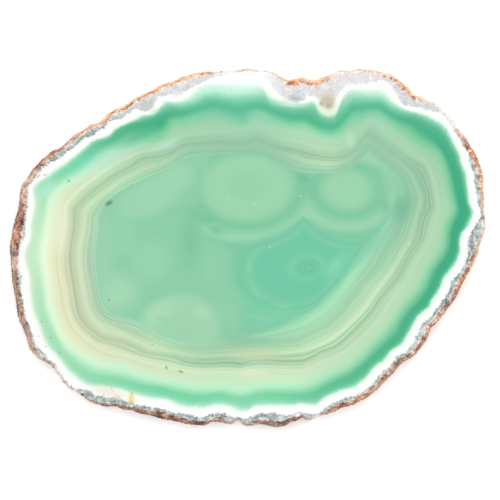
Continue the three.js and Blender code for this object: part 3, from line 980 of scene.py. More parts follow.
    def middle(self, shader: Shader, spot: bpy.types.NodeSocket,
               growth: bpy.types.NodeSocket) -> bpy.types.NodeSocket:
        """Colour the lobes and the filled pool in the middle.

        Args:
            shader: The material being made.
            spot: The point, in metres on the stone.
            growth: The growth level.

        Returns:
            The colour.
        """
        left: Colour = linear(LEFT_COLOUR, self.whiteness)
        for mark in LEFT_MARKS:
            left = mark.over(shader, spot, left, self.whiteness)
        points = tuple(zip(self.join_across, self.join_down))
        (start, high), (end, low) = PICTURE.place(points).tolist()
        across = shader.add("SeparateXYZ", {0: spot}, out="X")
        upwards = shader.add("SeparateXYZ", {0: spot}, out="Y")
        moved = shader.add("MapRange", (upwards, low, high, end - start, 0.0), **EASED)
        across = shader.add("Math", (across, moved), operation="SUBTRACT")
        side = shader.add("MapRange", (across, start, end - self.join_trim), **EASED)
        right = TOP_LOBES.colour(shader, spot, self.whiteness)
        colour = shader.add("Mix", {0: side, 6: left, 7: right}, **COLOUR_MIX)
        for mark in SOFT_MARKS:
            colour = mark.over(shader, spot, colour, self.whiteness)
        pool = self.pool.colour(shader, growth, self.whiteness)
        inside = shader.add("MapRange", (growth, *self.pool_from), **EASED)
        colour = shader.add("Mix", {0: inside, 6: colour, 7: pool}, **COLOUR_MIX)
        for mark in POOL_MARKS:
            colour = mark.over(shader, spot, colour, self.whiteness)
        return colour

    def build(self) -> bpy.types.Material:
        """Make the material.

        Returns:
            The material.
        """
        shader = Shader(bpy.data.materials.new(self.name))
        spot = shader.add("TexCoord", out="Object")
        growth = ragged_growth(shader, spot)
        level = shader.add("Attribute", out="Fac", attribute_name="growth")
        inside = shader.add("MapRange", (growth, *self.lobes_from), **EASED)
        colour = shader.add("Mix", {0: inside, 6: self.bands(shader, spot, growth),
                                    7: self.middle(shader, spot, level)}, **COLOUR_MIX)
        for mark in SMALL_MARKS:
            colour = mark.over(shader, spot, colour, self.whiteness)
        colour = Rind().over(shader, spot, growth, colour, self.whiteness)

        cloud = shader.add("TexNoise", {"Vector": spot, "Scale": self.clouds, "Detail": 4.0})
        clearest, dullest = (self.roughness * factor for factor in self.dulling)
        dull = shader.add("MapRange", (cloud, *LOOSE_SPREAD, clearest, dullest))
        surface = shader.add("BsdfPrincipled", {
            "Base Color": colour, "Roughness": dull, "IOR": self.ior,
            "Subsurface Weight": self.glow, "Subsurface Radius": self.scatter,
            "Subsurface Scale": self.depth})
        shader.add("OutputMaterial", {0: surface})
        return shader.owner


@dataclass(frozen=True)
class NoduleSkin:
    """The nodule's own weathered skin: chalcedony crusted with iron oxide, never worked.

    It is dull and gritty, and where the crust is thin the grey quartz under it shows. Its crust
    colour carries the same painted glow along the top and painted shade along the bottom and left.

    Attributes:
        name: The material's name.
        whiteness: The reflectance that its hex colours are scaled to.
        roughness: How dull it is.
        ior: The refractive index of the iron-stained quartz.
        grit: Grains of grit to a metre, each about half a millimetre wide. Real grit is finer
            still, too fine to show.
        grit_height: How high the grit stands, in metres.
    """

    name: str = "weathered_nodule_skin"
    whiteness: float = 0.72
    roughness: float = 0.82
    ior: float = 1.5
    grit: float = 2200.0
    grit_height: float = 0.0002

    def build(self) -> bpy.types.Material:
        """Make the material.

        Returns:
            The material.
        """
        shader = Shader(bpy.data.materials.new(self.name))
        spot = shader.add("TexCoord", out="Object")
        growth = ragged_growth(shader, spot)
        colour = Rind().over(shader, spot, growth, linear("#FFFFFF", self.whiteness),
                             self.whiteness)
        grit = shader.add("TexNoise", {"Vector": spot, "Scale": self.grit, "Detail": 4.0})
        bump = shader.add("Bump", {"Strength": 0.6, "Distance": self.grit_height, "Height": grit})
        surface = shader.add("BsdfPrincipled", {
            "Base Color": colour, "Roughness": self.roughness, "IOR": self.ior, "Normal": bump})
        shader.add("OutputMaterial", {0: surface})
        return shader.owner


def even_bearings(count: int) -> np.ndarray:
    """Spread bearings evenly over a turn, from minus pi on."""
    return np.linspace(-np.pi, np.pi, count, endpoint=False)


def from_heart(points: np.ndarray) -> tuple[np.ndarray, np.ndarray]:
    """See points of the stone from its heart.

    Args:
        points: Points in metres, one a row.

    Returns:
        Their bearings in radians and their distances in metres.
    """
    away = points[:, :2] - PICTURE.place(HEART_POINT)
    return np.arctan2(away[:, 1], away[:, 0]), np.hypot(*away.T)


def around(bearings: np.ndarray, known: np.ndarray, values: np.ndarray) -> np.ndarray:
    """Read values at bearings from known ones, round and round.

    Args:
        bearings: Where the values are wanted, in radians.
        known: Bearings where they are known, in any order.
        values: The known values.

    Returns:
        The values by straight lines between known ones, with one turn joined to the next.
    """
    return np.interp(bearings, known, values, period=FULL_TURN)


def softened(values: np.ndarray, reach: float) -> np.ndarray:
    """Smooth a closed row of values.

    Args:
        values: The row, whose end joins its start.
        reach: The standard deviation of the smoothing, in steps.

    Returns:
        The row, each value a bell-weighted mean of those around it, through its Fourier terms.
    """
    waves = np.fft.rfftfreq(values.shape[-1])
    bell = np.exp(-2.0 * (np.pi * reach * waves) ** 2)
    return np.fft.irfft(np.fft.rfft(values) * bell, values.shape[-1])


def walked(track: np.ndarray) -> np.ndarray:
    """Measure along a track.

    Args:
        track: Points in metres, one a row.

    Returns:
        How far each point is from the first, along the track.
    """
    return np.concatenate([[0.0], np.cumsum(np.hypot(*np.diff(track, axis=0).T))])


def parted(radii: np.ndarray) -> np.ndarray:
    """Draw lines in where they come too close to the line outside them.

    Args:
        radii: Distances from the heart in metres, a row for each level from the rim inwards.

    Returns:
        The same rows, each at least LINE_GAP inside the one before. The heart's row stays at 0.
    """
    radii = radii.copy()
    for level in range(1, Level.HEART):
        radii[level] = np.minimum(radii[level], radii[level - 1] - LINE_GAP)
    return radii


@dataclass(frozen=True)
class RimTable:
    """Values at places round the stone, set from the photo and its mean colours, read by bearing.

    Attributes:
        entries: (x, y, value) with the place in picture points.
        reach: How far the values are smoothed, in steps.
        steps: Steps in a turn.
    """

    entries: tuple[tuple[float, float, float], ...]
    reach: float = 18.0
    steps: int = 1680

    def at(self, bearings: np.ndarray) -> np.ndarray:
        """Read the table.

        Args:
            bearings: Bearings from the heart, in radians.

        Returns:
            The values there.
        """
        table = np.asarray(self.entries, float)
        known = from_heart(PICTURE.place(table[:, :2]))[0]
        even = even_bearings(self.steps)
        return around(bearings, even, softened(around(even, known, table[:, 2]), self.reach))


# How far in from the outline the crust reaches, in picture points.
CRUST_WIDTH = RimTable((
    (486, 224, 2.2), (485, 205, 3.5), (483, 180, 5.5), (470, 145, 5.5), (458, 127, 4.0),
    (445, 110, 2.6), (430, 100, 2.8), (418, 96, 4.5), (403, 82, 5.0), (388, 73, 4.5),
    (375, 70, 2.6), (362, 68, 2.4), (345, 70, 1.6), (330, 74, 2.4), (320, 78, 5.0),
    (300, 77, 5.6), (283, 77, 5.6), (276, 73, 3.2), (270, 71, 1.0), (262, 70, 0.6),
    (256, 68, 2.4), (245, 69, 3.0), (236, 70, 2.6), (228, 71, 1.4), (218, 71, 1.6),
    (209, 71, 3.6), (190, 74, 4.2), (150, 90, 4.0), (115, 108, 4.2), (90, 124, 4.6),
    (60, 146, 4.6), (33, 169, 6.0), (20, 190, 7.0), (14, 222, 9.8), (10, 245, 10.0),
    (11, 268, 6.4), (13, 292, 6.4), (19, 323, 7.0), (28, 345, 6.6), (45, 362, 4.4),
    (55, 371, 1.4), (70, 389, 1.6), (84, 398, 2.6), (105, 407, 5.0), (135, 413, 5.6),
    (144, 415, 5.6), (156, 417, 9.2), (166, 420, 7.6), (174, 422, 5.6), (185, 424, 5.2),
    (210, 423, 5.4), (231, 424, 4.2), (237, 421, 0.8), (243, 424, 2.4), (250, 426, 4.0),
    (266, 427, 5.6), (286, 426, 6.0), (300, 419, 3.4), (317, 418, 1.4), (330, 414, 4.6),
    (360, 402, 5.0), (398, 368, 6.0), (413, 357, 5.0), (427, 339, 4.6), (434, 327, 4.8),
    (453, 303, 5.2), (460, 290, 5.2), (472, 270, 5.2), (478, 256, 4.6), (482, 242, 3.4),
), 5.0)

# How much dye the outer, the middle and the inner bands took.
DYE_OUTER = RimTable((
    (35, 250, 0.0), (40, 290, 0.2), (48, 323, 0.27), (70, 358, 0.32), (100, 378, 0.42),
    (150, 387, 0.5), (200, 396, 0.5), (240, 400, 0.45), (290, 395, 0.55), (330, 386, 0.75),
    (370, 360, 0.86), (420, 303, 0.95), (450, 245, 1.0), (460, 205, 1.0), (440, 140, 0.98),
    (400, 120, 0.92), (365, 102, 0.85), (330, 126, 0.88), (290, 115, 0.88), (240, 107, 0.85),
    (200, 104, 0.85), (160, 119, 1.0), (120, 132, 0.88), (80, 160, 0.6), (45, 190, 0.3),
    (36, 215, 0.15),
))
DYE_MIDDLE = RimTable((
    (35, 250, 0.0), (45, 190, 0.2), (80, 160, 0.5), (120, 132, 0.88), (160, 119, 0.95),
    (200, 104, 0.95), (240, 107, 0.8), (290, 115, 0.75), (330, 126, 0.72), (365, 102, 0.72),
    (400, 120, 0.85), (440, 140, 1.0), (460, 205, 0.85), (450, 245, 0.82), (420, 303, 0.72),
    (370, 360, 0.68), (330, 386, 0.6), (290, 395, 0.42), (240, 400, 0.5), (200, 396, 0.5),
    (150, 387, 0.38), (100, 378, 0.36), (70, 358, 0.12), (48, 323, 0.05), (40, 290, 0.03),
))
DYE_INNER = RimTable((
    (35, 250, 0.0), (45, 190, 0.4), (80, 160, 0.6), (120, 132, 0.75), (160, 119, 0.92),
    (200, 104, 1.0), (240, 107, 0.95), (290, 115, 0.75), (330, 126, 0.6), (365, 102, 0.55),
    (400, 120, 0.82), (440, 140, 1.0), (460, 205, 0.88), (450, 245, 0.72), (420, 303, 0.52),
    (370, 360, 0.48), (330, 386, 0.48), (290, 395, 0.6), (240, 400, 0.76), (200, 396, 0.86),
    (150, 387, 0.76), (100, 378, 0.38), (70, 358, 0.22), (48, 323, 0.05), (40, 290, 0.05),
))

# How hazy the outer bands are, and then the inner ones.
HAZE = RimTable((
    (60, 170, 0.0), (120, 130, 0.0), (150, 120, 0.0), (172, 112, 0.1), (186, 108, 0.5),
    (200, 104, 0.9), (250, 103, 0.95), (262, 104, 0.75), (275, 108, 0.3), (300, 114, 0.2),
    (330, 125, 0.15), (343, 118, 0.2), (353, 105, 0.6), (362, 102, 0.95), (374, 102, 0.95),
    (385, 108, 0.5), (400, 119, 0.2), (430, 132, 0.1), (460, 200, 0.0),
))
VEIL = RimTable((
    (35, 250, 0.0), (45, 190, 0.05), (80, 160, 0.1), (120, 132, 0.12), (160, 119, 0.45),
    (200, 104, 0.7), (240, 107, 0.95), (262, 104, 0.9), (290, 115, 0.35), (330, 126, 0.2),
    (350, 112, 0.3), (362, 102, 0.8), (385, 108, 0.95), (410, 122, 0.88), (430, 132, 0.55),
    (445, 150, 0.25), (462, 205, 0.1), (450, 245, 0.0),
))

# How rusty the crust is, and how much of it is worn off. The rust values also carry painted
# light: high along the top for a painted glow, low along the bottom and left for painted shade.
RUST_GLOW_AND_SHADE = RimTable((
    (486, 224, 0.6), (484, 190, 0.65), (481, 165, 0.65), (473, 147, 0.6), (461, 130, 0.6),
    (430, 101, 0.9), (414, 93, 0.9), (399, 79, 0.9), (375, 70, 0.9), (335, 72, 0.85),
    (315, 80, 1.0), (282, 77, 1.0), (276, 73, 0.8), (240, 69, 0.95), (222, 71, 0.7),
    (208, 71, 1.0), (160, 85, 1.0), (127, 103, 1.0), (105, 117, 0.85), (80, 131, 0.65),
    (56, 148, 0.5), (32, 169, 0.4), (19, 195, 0.3), (13, 224, 0.15), (9, 250, 0.5),
    (12, 283, 0.2), (17, 311, 0.08), (26, 339, 0.2), (45, 362, 0.2), (70, 389, 0.2),
    (88, 400, 0.1), (120, 408, 0.2), (170, 421, 0.12), (192, 425, 0.0), (216, 423, 0.1),
    (253, 426, 0.0), (286, 426, 0.05), (302, 418, 0.25), (331, 414, 0.38), (344, 408, 0.36),
    (357, 403, 0.22), (370, 396, 0.2), (390, 377, 0.15), (399, 367, 0.25), (410, 359, 0.45),
    (427, 339, 0.5), (433, 327, 0.36), (452, 304, 0.42), (460, 290, 0.6), (468, 276, 0.7),
    (476, 260, 0.7), (481, 242, 0.6),
), 6.0)
WORN = RimTable((
    (486, 224, 0.6), (485, 205, 0.5), (484, 185, 0.2), (480, 165, 0.0), (473, 147, 0.05),
    (463, 133, 0.3), (454, 122, 0.85), (440, 106, 0.95), (428, 99, 0.72), (418, 96, 0.2),
    (395, 77, 0.15), (384, 72, 0.4), (374, 70, 0.75), (364, 68, 0.45), (352, 70, 0.8),
    (338, 71, 0.75), (328, 75, 0.3), (315, 80, 0.0), (282, 77, 0.05), (277, 73, 0.1),
    (272, 71, 0.9), (266, 71, 1.0), (259, 70, 1.0), (253, 68, 0.35), (238, 70, 0.4),
    (231, 71, 1.0), (222, 71, 1.0), (214, 71, 1.0), (210, 71, 0.3), (203, 71, 0.0),
    (105, 117, 0.05), (80, 131, 0.3), (56, 148, 0.1), (38, 162, 0.1), (22, 184, 0.4),
    (18, 200, 0.1), (12, 228, 0.0), (10, 246, 0.05), (10, 253, 0.4), (11, 261, 0.4),
    (12, 270, 0.1), (13, 290, 0.1), (26, 342, 0.3), (45, 362, 0.35), (55, 372, 0.8),
    (75, 391, 0.6), (90, 402, 0.1), (200, 426, 0.0), (222, 424, 0.25), (232, 422, 0.5),
    (242, 425, 0.5), (252, 425, 0.15), (300, 421, 0.0), (314, 419, 0.75), (323, 417, 0.2),
    (344, 408, 0.0), (420, 350, 0.2), (430, 335, 0.0), (444, 316, 0.15), (460, 290, 0.0),
    (476, 262, 0.05), (481, 245, 0.25),
), 6.0)

# How clear and grey the quartz is: 1 is clear, 0 is milky, and -1 is white.
STEEL = RimTable((
    (486, 224, 1.0), (475, 150, 0.85), (461, 130, 0.5), (449, 114, 0.0), (433, 101, 0.1),
    (414, 93, 0.25), (399, 79, 0.1), (379, 71, 0.0), (359, 69, -0.1), (338, 70, 0.0),
    (318, 79, 0.05), (300, 77, 0.1), (282, 77, 0.1), (276, 73, 0.0), (271, 71, -0.6),
    (265, 71, -1.0), (230, 71, -1.0), (222, 71, -0.2), (214, 71, 0.05), (192, 73, 0.15),
    (170, 81, 0.1), (149, 91, 0.2), (127, 103, 0.45), (105, 117, 0.55), (80, 131, 0.95),
    (56, 148, 1.0), (32, 169, 0.85), (19, 195, 0.75), (13, 224, 0.8), (10, 245, 0.3),
    (10, 258, 0.3), (12, 283, 0.85), (17, 311, 1.0), (26, 339, 0.7), (45, 362, 0.8),
    (64, 384, 0.5), (88, 400, 1.0), (216, 423, 1.0), (302, 418, 0.75), (344, 408, 0.75),
    (370, 396, 0.7), (390, 377, 1.0), (410, 359, 0.9), (420, 350, 0.55), (431, 332, 0.65),
    (444, 316, 1.0), (468, 276, 0.9),
), 8.0)

# What each point of the slab carries for the materials to read, by name.
RIM_TABLES = {
    "dye_outer": DYE_OUTER, "dye_middle": DYE_MIDDLE, "dye_inner": DYE_INNER, "haze": HAZE,
    "veil": VEIL, "rust": RUST_GLOW_AND_SHADE, "worn": WORN, "steel": STEEL}


@dataclass(frozen=True)
class GrowthLines:
    """Where the growth lines lie on one face of the slab.

    Attributes:
        rays: Bearings from the heart, evenly spread over a turn.
        radii: Distances from the heart in metres, a row for each level.
    """

    rays: np.ndarray
    radii: np.ndarray

    def along(self, bearings: np.ndarray) -> np.ndarray:
        """Read each line's distance from the heart.

        Args:
            bearings: Bearings from the heart.

        Returns:
            A row for each level.
        """
        return np.array([around(bearings, self.rays, row) for row in self.radii])

    def level(self, points: np.ndarray) -> np.ndarray:
        """Read the growth level of points.

        The level rises by one from each line to the next: it is the sum over the lines k of
        (radius k - r) / (radius k - radius k+1), each held between 0 and 1.

        Args:
            points: Points in metres, one a row.

        Returns:
            Their growth levels.
        """
        bearings, distances = from_heart(points)
        lines = self.along(bearings)
        rise = (lines[:-1] - distances) / (lines[:-1] - lines[1:])
        return np.clip(rise, 0.0, 1.0).sum(0)


@dataclass(frozen=True)
class LineReader:
    """Turns the tables of picture points into growth lines of the two faces.

    Attributes:
        rays: How many rays the lines are kept on.
        skin: The least width of the crust on the lower face, in metres.
        edge_reach: How far the outline is smoothed, in rays.
        line_reach: How far the lines are smoothed, in rays.
        leaning: Growth levels, and how much of the wall's lean a line has at each.
    """

    rays: int = 3360
    skin: float = 0.0004
    edge_reach: float = 0.5
    line_reach: float = 3.0
    leaning: tuple[tuple[float, ...], ...] = ((2.0, 4.0, 9.0), (1.0, 0.5, 0.0))

    def distance(self, corners: np.ndarray, reach: float) -> np.ndarray:
        """Distance from the heart to a closed line, along every ray.

        The line is walked in short steps, and the result is smoothed a little.

        Args:
            corners: The line's corners in metres.
            reach: The smoothing, in rays.

        Returns:
            A distance in metres for each ray.
        """
        corners = np.concatenate([corners, corners[:1]]) - PICTURE.place(HEART_POINT)
        length = walked(corners)
        steps = np.linspace(0.0, length[-1], 2 * self.rays, endpoint=False)
        x, y = (np.interp(steps, length, corners[:, axis]) for axis in (0, 1))
        return softened(around(even_bearings(self.rays), np.arctan2(y, x), np.hypot(x, y)), reach)

    def read(self, outline: np.ndarray, upper: np.ndarray, side: Side) -> GrowthLines:
        """Work out the lines of one face.

        On the lower face the outer lines stand further out, as the nodule's wall does.

        Args:
            outline: The wall's lower edge, which is the outline in the picture.
            upper: The wall's upper edge.
            side: Which face is wanted.

        Returns:
            Its growth lines.
        """
        even = even_bearings(self.rays)
        edge = self.distance(outline[:, :2], self.edge_reach)
        skin = CRUST_WIDTH.at(even) * PICTURE.metre
        lean = edge - self.distance(upper[:, :2], self.edge_reach)
        lines = [self.distance(PICTURE.place(points), self.line_reach) for points in READ_LINES]
        radii = np.array([edge, edge - skin, *lines, np.zeros_like(even)])
        if side is Side.DOWN:
            slant = np.interp(np.arange(len(radii)), *self.leaning)
            radii[Level.QUARTZ:] += slant[Level.QUARTZ:, None] * lean
            radii[Level.SKIN] = edge - np.maximum(skin - lean, self.skin)
        return GrowthLines(even, parted(radii))


@dataclass
class RoughRim:
    """The wall of untouched skin round the slab.

    Attributes:
        steps: Points round the rim.
        rows: Rows of faces up the wall.
        arris: How far the sawn edge is rounded, in metres.
        grit: Depth of the finest grit, in metres.
        pits: How many small pits there are.
        pit_radius: The smallest and largest pit, in metres.
        pit_depth: Depth of the largest pit, in metres.
        seed: Starts the random numbers.
        fine_steps: Points on the ring along which the even spacing is worked out.
        ring_height: The most by which the heights of one ring's corners differ, in metres.
        ring_reach: How far the rings are smoothed, in steps.
        waves: How many waves the grit is a sum of.
        wave_counts: The fewest and the most times that a wave fits round the rim, so that the
            finest is about 0.7 mm long.
        wave_slant: How strongly the waves slant, in radians to a metre of height.
        wave_height: The height of their sum beyond which the grit levels off.
        together: How many pits are worked out together. Where such pits overlap, the deeper
            one counts.
        overlap: How many times as deep as the deepest pit overlapping ones may get.
    """

    steps: int = 1680
    rows: int = 18
    arris: float = 0.00012
    grit: float = 0.00016
    pits: int = 520
    pit_radius: tuple[float, float] = (0.00025, 0.0009)
    pit_depth: float = 0.0003
    seed: int = 41
    fine_steps: int = 20001
    ring_height: float = 2e-5
    ring_reach: float = 1.2
    waves: int = 26
    wave_counts: tuple[int, int] = (90, 520)
    wave_slant: float = 900.0
    wave_height: float = 3.0
    together: int = 40
    overlap: float = 1.5

    def survey(self) -> tuple[np.ndarray, np.ndarray, np.ndarray]:
        """Read the solid's rings of corners.

        Returns:
            The heights of the rings, the bearings of the points wanted round the rim, evenly
            spaced along it, and each ring's radius at those bearings, one row a ring.
        """
        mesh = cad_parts[CAD_NODE].data
        corners = np.empty(len(mesh.vertices) * 3)
        mesh.vertices.foreach_get("co", corners)
        # A corner that several faces share counts once. Heights are told apart by 0.01 mm.
        corners = np.unique(np.round(corners.reshape(-1, 3), 7), axis=0)
        heights = np.unique(np.round(corners[:, 2], 5))
        rings = []
        for height in heights:
            x, y = corners[np.abs(corners[:, 2] - height) < self.ring_height, :2].T
            rings.append((np.arctan2(y, x), np.hypot(x, y)))
        fine = np.linspace(-np.pi, np.pi, self.fine_steps)
        radius = around(fine, *rings[0])
        length = walked(np.stack([radius * np.cos(fine), radius * np.sin(fine)], 1))
        wanted = np.arange(self.steps) * length[-1] / self.steps
        bearings = np.interp(wanted, length, fine)
        radii = [softened(around(bearings, *ring), self.ring_reach) for ring in rings]
        return heights, bearings, np.array(radii)

    def relief(self, turns: np.ndarray, heights: np.ndarray, girth: float) -> np.ndarray:
        """How far the grit and pits draw the skin in.

        The grit is a sum of waves that close round the rim, each slanted by height at random,
        and the pits are round bowls: depth = full depth times (1 - (distance / radius) squared).

        Args:
            turns: How far round the rim the points lie, from 0 to 1.
            heights: The rows' heights in metres.
            girth: The length round the rim, in metres.

        Returns:
            Depths in metres, a row for each height.
        """
        random = np.random.default_rng(self.seed)
        counts = random.integers(*self.wave_counts, self.waves)
        slants = random.normal(0.0, self.wave_slant, self.waves)
        phases = random.uniform(0.0, FULL_TURN, self.waves)
        angle = (FULL_TURN * counts[:, None, None] * turns[None, None, :]
                 + slants[:, None, None] * heights[None, :, None] + phases[:, None, None])
        height = np.tanh(np.sin(angle).sum(0) / self.wave_height)
        depth = self.grit * (0.5 + 0.5 * height)
        along = random.uniform(0.0, girth, self.pits)
        level = random.uniform(0.0, heights[-1], self.pits)
        small, large = self.pit_radius
        size = small + (large - small) * random.uniform(0.0, 1.0, self.pits) ** 2
        for start in range(0, self.pits, self.together):
            part = slice(start, start + self.together)
            apart = np.abs(turns[None, :] * girth - along[part, None])
            apart = np.minimum(apart, girth - apart)
            rise = heights[None, :] - level[part, None]
            square = (apart[:, None, :] ** 2 + rise[:, :, None] ** 2) / size[part, None, None] ** 2
            bowl = np.clip(1.0 - square, 0.0, 1.0) * size[part, None, None] / large
            depth = depth + self.pit_depth * bowl.max(0)
        return np.minimum(depth, self.grit + self.overlap * self.pit_depth)

    def build(self) -> np.ndarray:
        """Work out the wall's points.

        Each row is a ring of the solid, or lies between two of them, drawn in by the relief. The
        first and last rows are drawn in by the arris, at the heights of the two faces.

        Returns:
            Points in metres, shaped (rows + 1, steps, 3), from the lower edge to the upper one.
        """
        heights, bearings, radii = self.survey()
        top = heights[-1]
        inner = np.linspace(self.arris, top - self.arris, self.rows - 1)
        levels = np.concatenate([[0.0], inner, [top]])
        spot = np.interp(levels, heights, np.arange(len(heights)))
        below = np.clip(spot.astype(int), 0, len(heights) - 2)
        share = (spot - below)[:, None]
        radius = radii[below] * (1.0 - share) + radii[below + 1] * share
        girth = float(np.hypot(radius[0] * np.gradient(bearings), np.gradient(radius[0])).sum())
        depth = self.relief(np.arange(self.steps) / self.steps, levels, girth)
        depth[[0, -1]] = depth[[1, -2]] + self.arris
        radius = radius - depth
        return np.stack([radius * np.cos(bearings), radius * np.sin(bearings),
                         np.broadcast_to(levels[:, None], radius.shape)], 2)


@dataclass
class GrowthFace:
    """One polished face: rings that follow the growth lines from the rim in to the heart.

    A point of ring k lies on a ray from the heart: heart + radius k (bearing) times the ray.

    Attributes:
        between: Rings of faces between each level and the next.
        coarse_from: From this level inwards every fourth ray is enough.
        thinning: How many rays one coarse ray stands for.
        ray_reach: How far the rays' spacing is smoothed, in points of the edge.
    """

    between: tuple[int, ...] = (1, 3, 3, 3, 2, 2, 2, 2, 2, 2, 5, 3, 2, 2)
    coarse_from: int = Level.FIELD
    thinning: int = 4
    ray_reach: float = 3.0

    def build(self, edge: np.ndarray, lines: GrowthLines) -> tuple[np.ndarray, list[int]]:
        """Work out the face's points.

        Args:
            edge: The wall's edge that the face fills, shaped (steps, 3).
            lines: The face's growth lines.

        Returns:
            The rings' points without the edge, and how many points each ring has. The last ring
            is the single point of the heart.
        """
        heart = PICTURE.place(HEART_POINT)[0]
        bearings, distances = from_heart(edge)
        turn = np.linspace(0.0, FULL_TURN, len(edge), endpoint=False)
        rays = softened(np.unwrap(bearings) - turn, self.ray_reach) + turn
        radii = lines.along(rays)
        radii[Level.RIM] = distances
        radii = parted(radii)
        points, sizes = [], []
        for level, count in enumerate(self.between):
            for part in range(1, count + 1):
                share = part / count
                radius = radii[level] * (1.0 - share) + radii[level + 1] * share
                step = self.thinning if level + share > self.coarse_from else 1
                if level + share >= Level.HEART:
                    radius, step = radius[:1], 1
                ring = np.stack([heart[0] + radius * np.cos(rays[:len(radius)]),
                                 heart[1] + radius * np.sin(rays[:len(radius)]),
                                 np.full(len(radius), edge[0, 2])], 1)[::step]
                points.append(ring)
                sizes.append(len(ring))
        return np.concatenate(points), sizes


@dataclass
class AgateSlab:
    """The whole slab: rough rim and two polished faces in one closed skin of faces.

    Attributes:
        name: The piece's name.
        lower_rings: Rings of faces from each level to the next on the lower face, which has only
            as many as its growth lines need.
    """

    name: str = "agate_slab"
    lower_rings: tuple[int, ...] = (1, 1, 1, 1, 1, 1, 1, 1, 1, 1, 5, 3, 2, 2)

    def joined(self, edge: np.ndarray, first: int, sizes: list[int], side: Side) -> list:
        """Join a face's rings by quads, with triangles where the rings thin out.

        Args:
            edge: The numbers of the edge's points.
            first: The number of the first ring's first point.
            sizes: How many points each ring has.
            side: Which way the face looks.

        Returns:
            The faces, as lists of point numbers, turned to look outwards.
        """
        faces: list = []
        outer = edge
        for size in sizes:
            inner = np.arange(first, first + size)
            first += size
            a, b = outer, np.roll(outer, -1)
            if size == len(outer):
                faces += np.stack([a, b, np.roll(inner, -1), inner], 1).tolist()
            elif size == 1:
                faces += np.stack([a, b, np.full(len(outer), inner[0])], 1).tolist()
            else:
                # Four outer points meet each inner one, and five triangles fill the place.
                fine = outer.reshape(size, -1)
                c, d = inner, np.roll(inner, -1)
                last = np.roll(fine[:, 0], -1)
                for corners in ((fine[:, 0], fine[:, 1], c), (fine[:, 1], fine[:, 2], c),
                                (fine[:, 2], d, c), (fine[:, 2], fine[:, 3], d),
                                (fine[:, 3], last, d)):
                    faces += np.stack(corners, 1).tolist()
            outer = inner
        return faces if side is Side.UP else [face[::-1] for face in faces]

    def covered(self, points: np.ndarray, skin: list, polished: list) -> bpy.types.Mesh:
        """Make the mesh, with the two finishes on its faces.

        Args:
            points: The points in metres.
            skin: The wall's faces, as lists of point numbers.
            polished: The faces of both sides.

        Returns:
            The mesh.
        """
        mesh = bpy.data.meshes.new(self.name)
        mesh.from_pydata(points.tolist(), [], skin + polished)
        mesh.materials.append(PolishedChalcedony().build())
        mesh.materials.append(NoduleSkin().build())
        slots = np.zeros(len(mesh.polygons), dtype=np.int32)
        slots[:len(skin)] = 1
        mesh.polygons.foreach_set("material_index", slots)
        mesh.polygons.foreach_set("use_smooth", np.ones(len(mesh.polygons), dtype=bool))
        return mesh

    def build(self) -> bpy.types.Object:
        """Make the slab and dress it.

        Returns:
            The slab's object.
        """
        wall = RoughRim().build()
        rows, steps = wall.shape[:2]
        reader = LineReader()
        upper_lines = reader.read(wall[0], wall[-1], Side.UP)
        lower_lines = reader.read(wall[0], wall[-1], Side.DOWN)
        top, top_sizes = GrowthFace().build(wall[-1], upper_lines)
        low, low_sizes = GrowthFace(self.lower_rings).build(wall[0], lower_lines)
        points = np.concatenate([wall.reshape(-1, 3), top, low])

        grid = np.arange(rows * steps).reshape(rows, steps)
        turned = np.roll(grid, -1, axis=1)
        skin = np.stack([grid[:-1], turned[:-1], turned[1:], grid[1:]], 2).reshape(-1, 4)
        polished = self.joined(grid[-1], rows * steps, top_sizes, Side.UP)
        polished += self.joined(grid[0], rows * steps + len(top), low_sizes, Side.DOWN)
        mesh = self.covered(points, skin.tolist(), polished)

        growth = np.concatenate([upper_lines.level(points[:-len(low)]), lower_lines.level(low)])
        bearings = from_heart(points)[0]
        values = {label: table.at(bearings) for label, table in RIM_TABLES.items()}
        for label, numbers in {"growth": growth, **values}.items():
            layer = mesh.attributes.new(label, "FLOAT", "POINT")
            layer.data.foreach_set("value", numbers.astype(np.float32))
        mesh.validate()
        mesh.update()
        slab = bpy.data.objects.new(self.name, mesh)
        bpy.context.scene.collection.objects.link(slab)
        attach(slab, "root")
        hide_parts(CAD_NODE)
        log.info("%s: %d points, %d faces", self.name, len(points), len(mesh.polygons))
        return slab


@dataclass(frozen=True)
class PaleFloor:
    """A seamless sheet of matt white paper.

    Attributes:
        name: The material's name.
        half: Half the sheet's side, in metres.
        drop: How far under the slice it lies, so that the two don't share a plane.
        colour: Its colour.
        roughness: How matt it is.
        fibres: Fibres to a metre, each about a millimetre wide. Real ones are too fine to show.
        fibre_height: How high they stand, in metres.
        fibre_strength: How much of that height shows.
    """

    name: str = "matt_white_paper"
    half: float = 4.0
    drop: float = 0.00005
    colour: str = "#FEFEFE"
    roughness: float = 0.9
    fibres: float = 900.0
    fibre_height: float = 0.0002
    fibre_strength: float = 0.02

    def build(self) -> bpy.types.Object:
        """Make the floor.

        Returns:
            The floor's object.
        """
        shader = Shader(bpy.data.materials.new(self.name))
        spot = shader.add("TexCoord", out="Object")
        fibre = shader.add("TexNoise", {"Vector": spot, "Scale": self.fibres, "Detail": 2.0})
        bump = shader.add("Bump", {"Strength": self.fibre_strength,
                                   "Distance": self.fibre_height, "Height": fibre})
        surface = shader.add("BsdfPrincipled", {
            "Base Color": linear(self.colour), "Roughness": self.roughness, "Normal": bump})
        shader.add("OutputMaterial", {0: surface})
        mesh = bpy.data.meshes.new("floor")
        side, level = self.half, -self.drop
        mesh.from_pydata([(-side, -side, level), (side, -side, level), (side, side, level),
                          (-side, side, level)], [], [(0, 1, 2, 3)])
        mesh.materials.append(shader.owner)
        floor = bpy.data.objects.new("floor", mesh)
        bpy.context.scene.collection.objects.link(floor)
        return floor


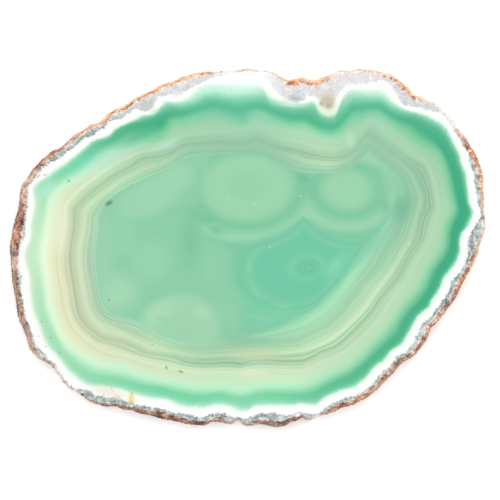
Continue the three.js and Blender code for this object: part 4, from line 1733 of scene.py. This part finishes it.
@dataclass(frozen=True)
class Studio:
    """Even soft light from all round but less from straight above, and one broad soft lamp.

    The darker patch overhead keeps the polished face, which looks straight up at the camera,
    from mirroring a white ceiling.

    Attributes:
        sky: Strength of the light from all round.
        zenith: Strength of the light from straight above.
        patch: The upward parts of a direction between which the sky darkens.
        lamp_power: Power of the lamp, in watts.
        lamp_size: The lamp's side, in metres.
        lamp_place: Where the lamp hangs.
        lens: The camera's focal length in millimetres, long so that the view is nearly square on.
        sensor: The camera's sensor width in millimetres.
        sight: How far the camera sees, in metres.
        picture_side: The picture's side, in picture points.
        picture_middle: The picture point that the camera looks at.
    """

    sky: float = 1.44
    zenith: float = 0.2
    patch: tuple[float, float] = (0.9, 0.975)
    lamp_power: float = 5.0
    lamp_size: float = 1.0
    lamp_place: tuple[float, float, float] = (0.1, 0.75, 1.3)
    lens: float = 500.0
    sensor: float = 36.0
    sight: float = 50.0
    picture_side: float = 500.0
    picture_middle: tuple[float, float] = (250.0, 250.0)

    def build(self) -> None:
        """Make the sky, the lamp and the camera, and set how brightness is shown."""
        scene = bpy.context.scene
        sky = Shader(bpy.data.worlds.new("soft_sky"))
        towards = sky.add("TexCoord", out="Generated")
        up = sky.add("SeparateXYZ", {0: towards}, out="Z")
        strength = sky.add("MapRange", (up, *self.patch, self.sky, self.zenith), **EASED)
        glow = sky.add("Background", ((1.0, 1.0, 1.0, 1.0), strength))
        sky.add("OutputWorld", (glow,))
        scene.world = sky.owner

        light = bpy.data.lights.new("soft_lamp", "AREA")
        light.energy = self.lamp_power
        light.size = self.lamp_size
        lamp = bpy.data.objects.new("soft_lamp", light)
        scene.collection.objects.link(lamp)
        lamp.location = self.lamp_place
        aim = -lamp.location
        lamp.rotation_euler = aim.to_track_quat("-Z", "Y").to_euler()

        lens = bpy.data.cameras.new("camera")
        lens.lens = self.lens
        lens.sensor_width = self.sensor
        lens.clip_end = self.sight
        camera = bpy.data.objects.new("camera", lens)
        scene.collection.objects.link(camera)
        middle = PICTURE.place(self.picture_middle)[0]
        span = self.picture_side * PICTURE.metre
        face = 0.5 * (cad_box[0].z + cad_box[1].z)
        camera.location = (*middle, face + span * self.lens / self.sensor)
        scene.camera = camera
        scene.view_settings.view_transform = "Standard"
        scene.view_settings.look = "None"


def main() -> None:
    """Build the slab and the studio in order."""
    logging.basicConfig(level=logging.INFO, format="%(name)s: %(message)s")
    AgateSlab().build()
    PaleFloor().build()
    Studio().build()
    log.info("studio ready")


if __name__ == "__main__":
    main()
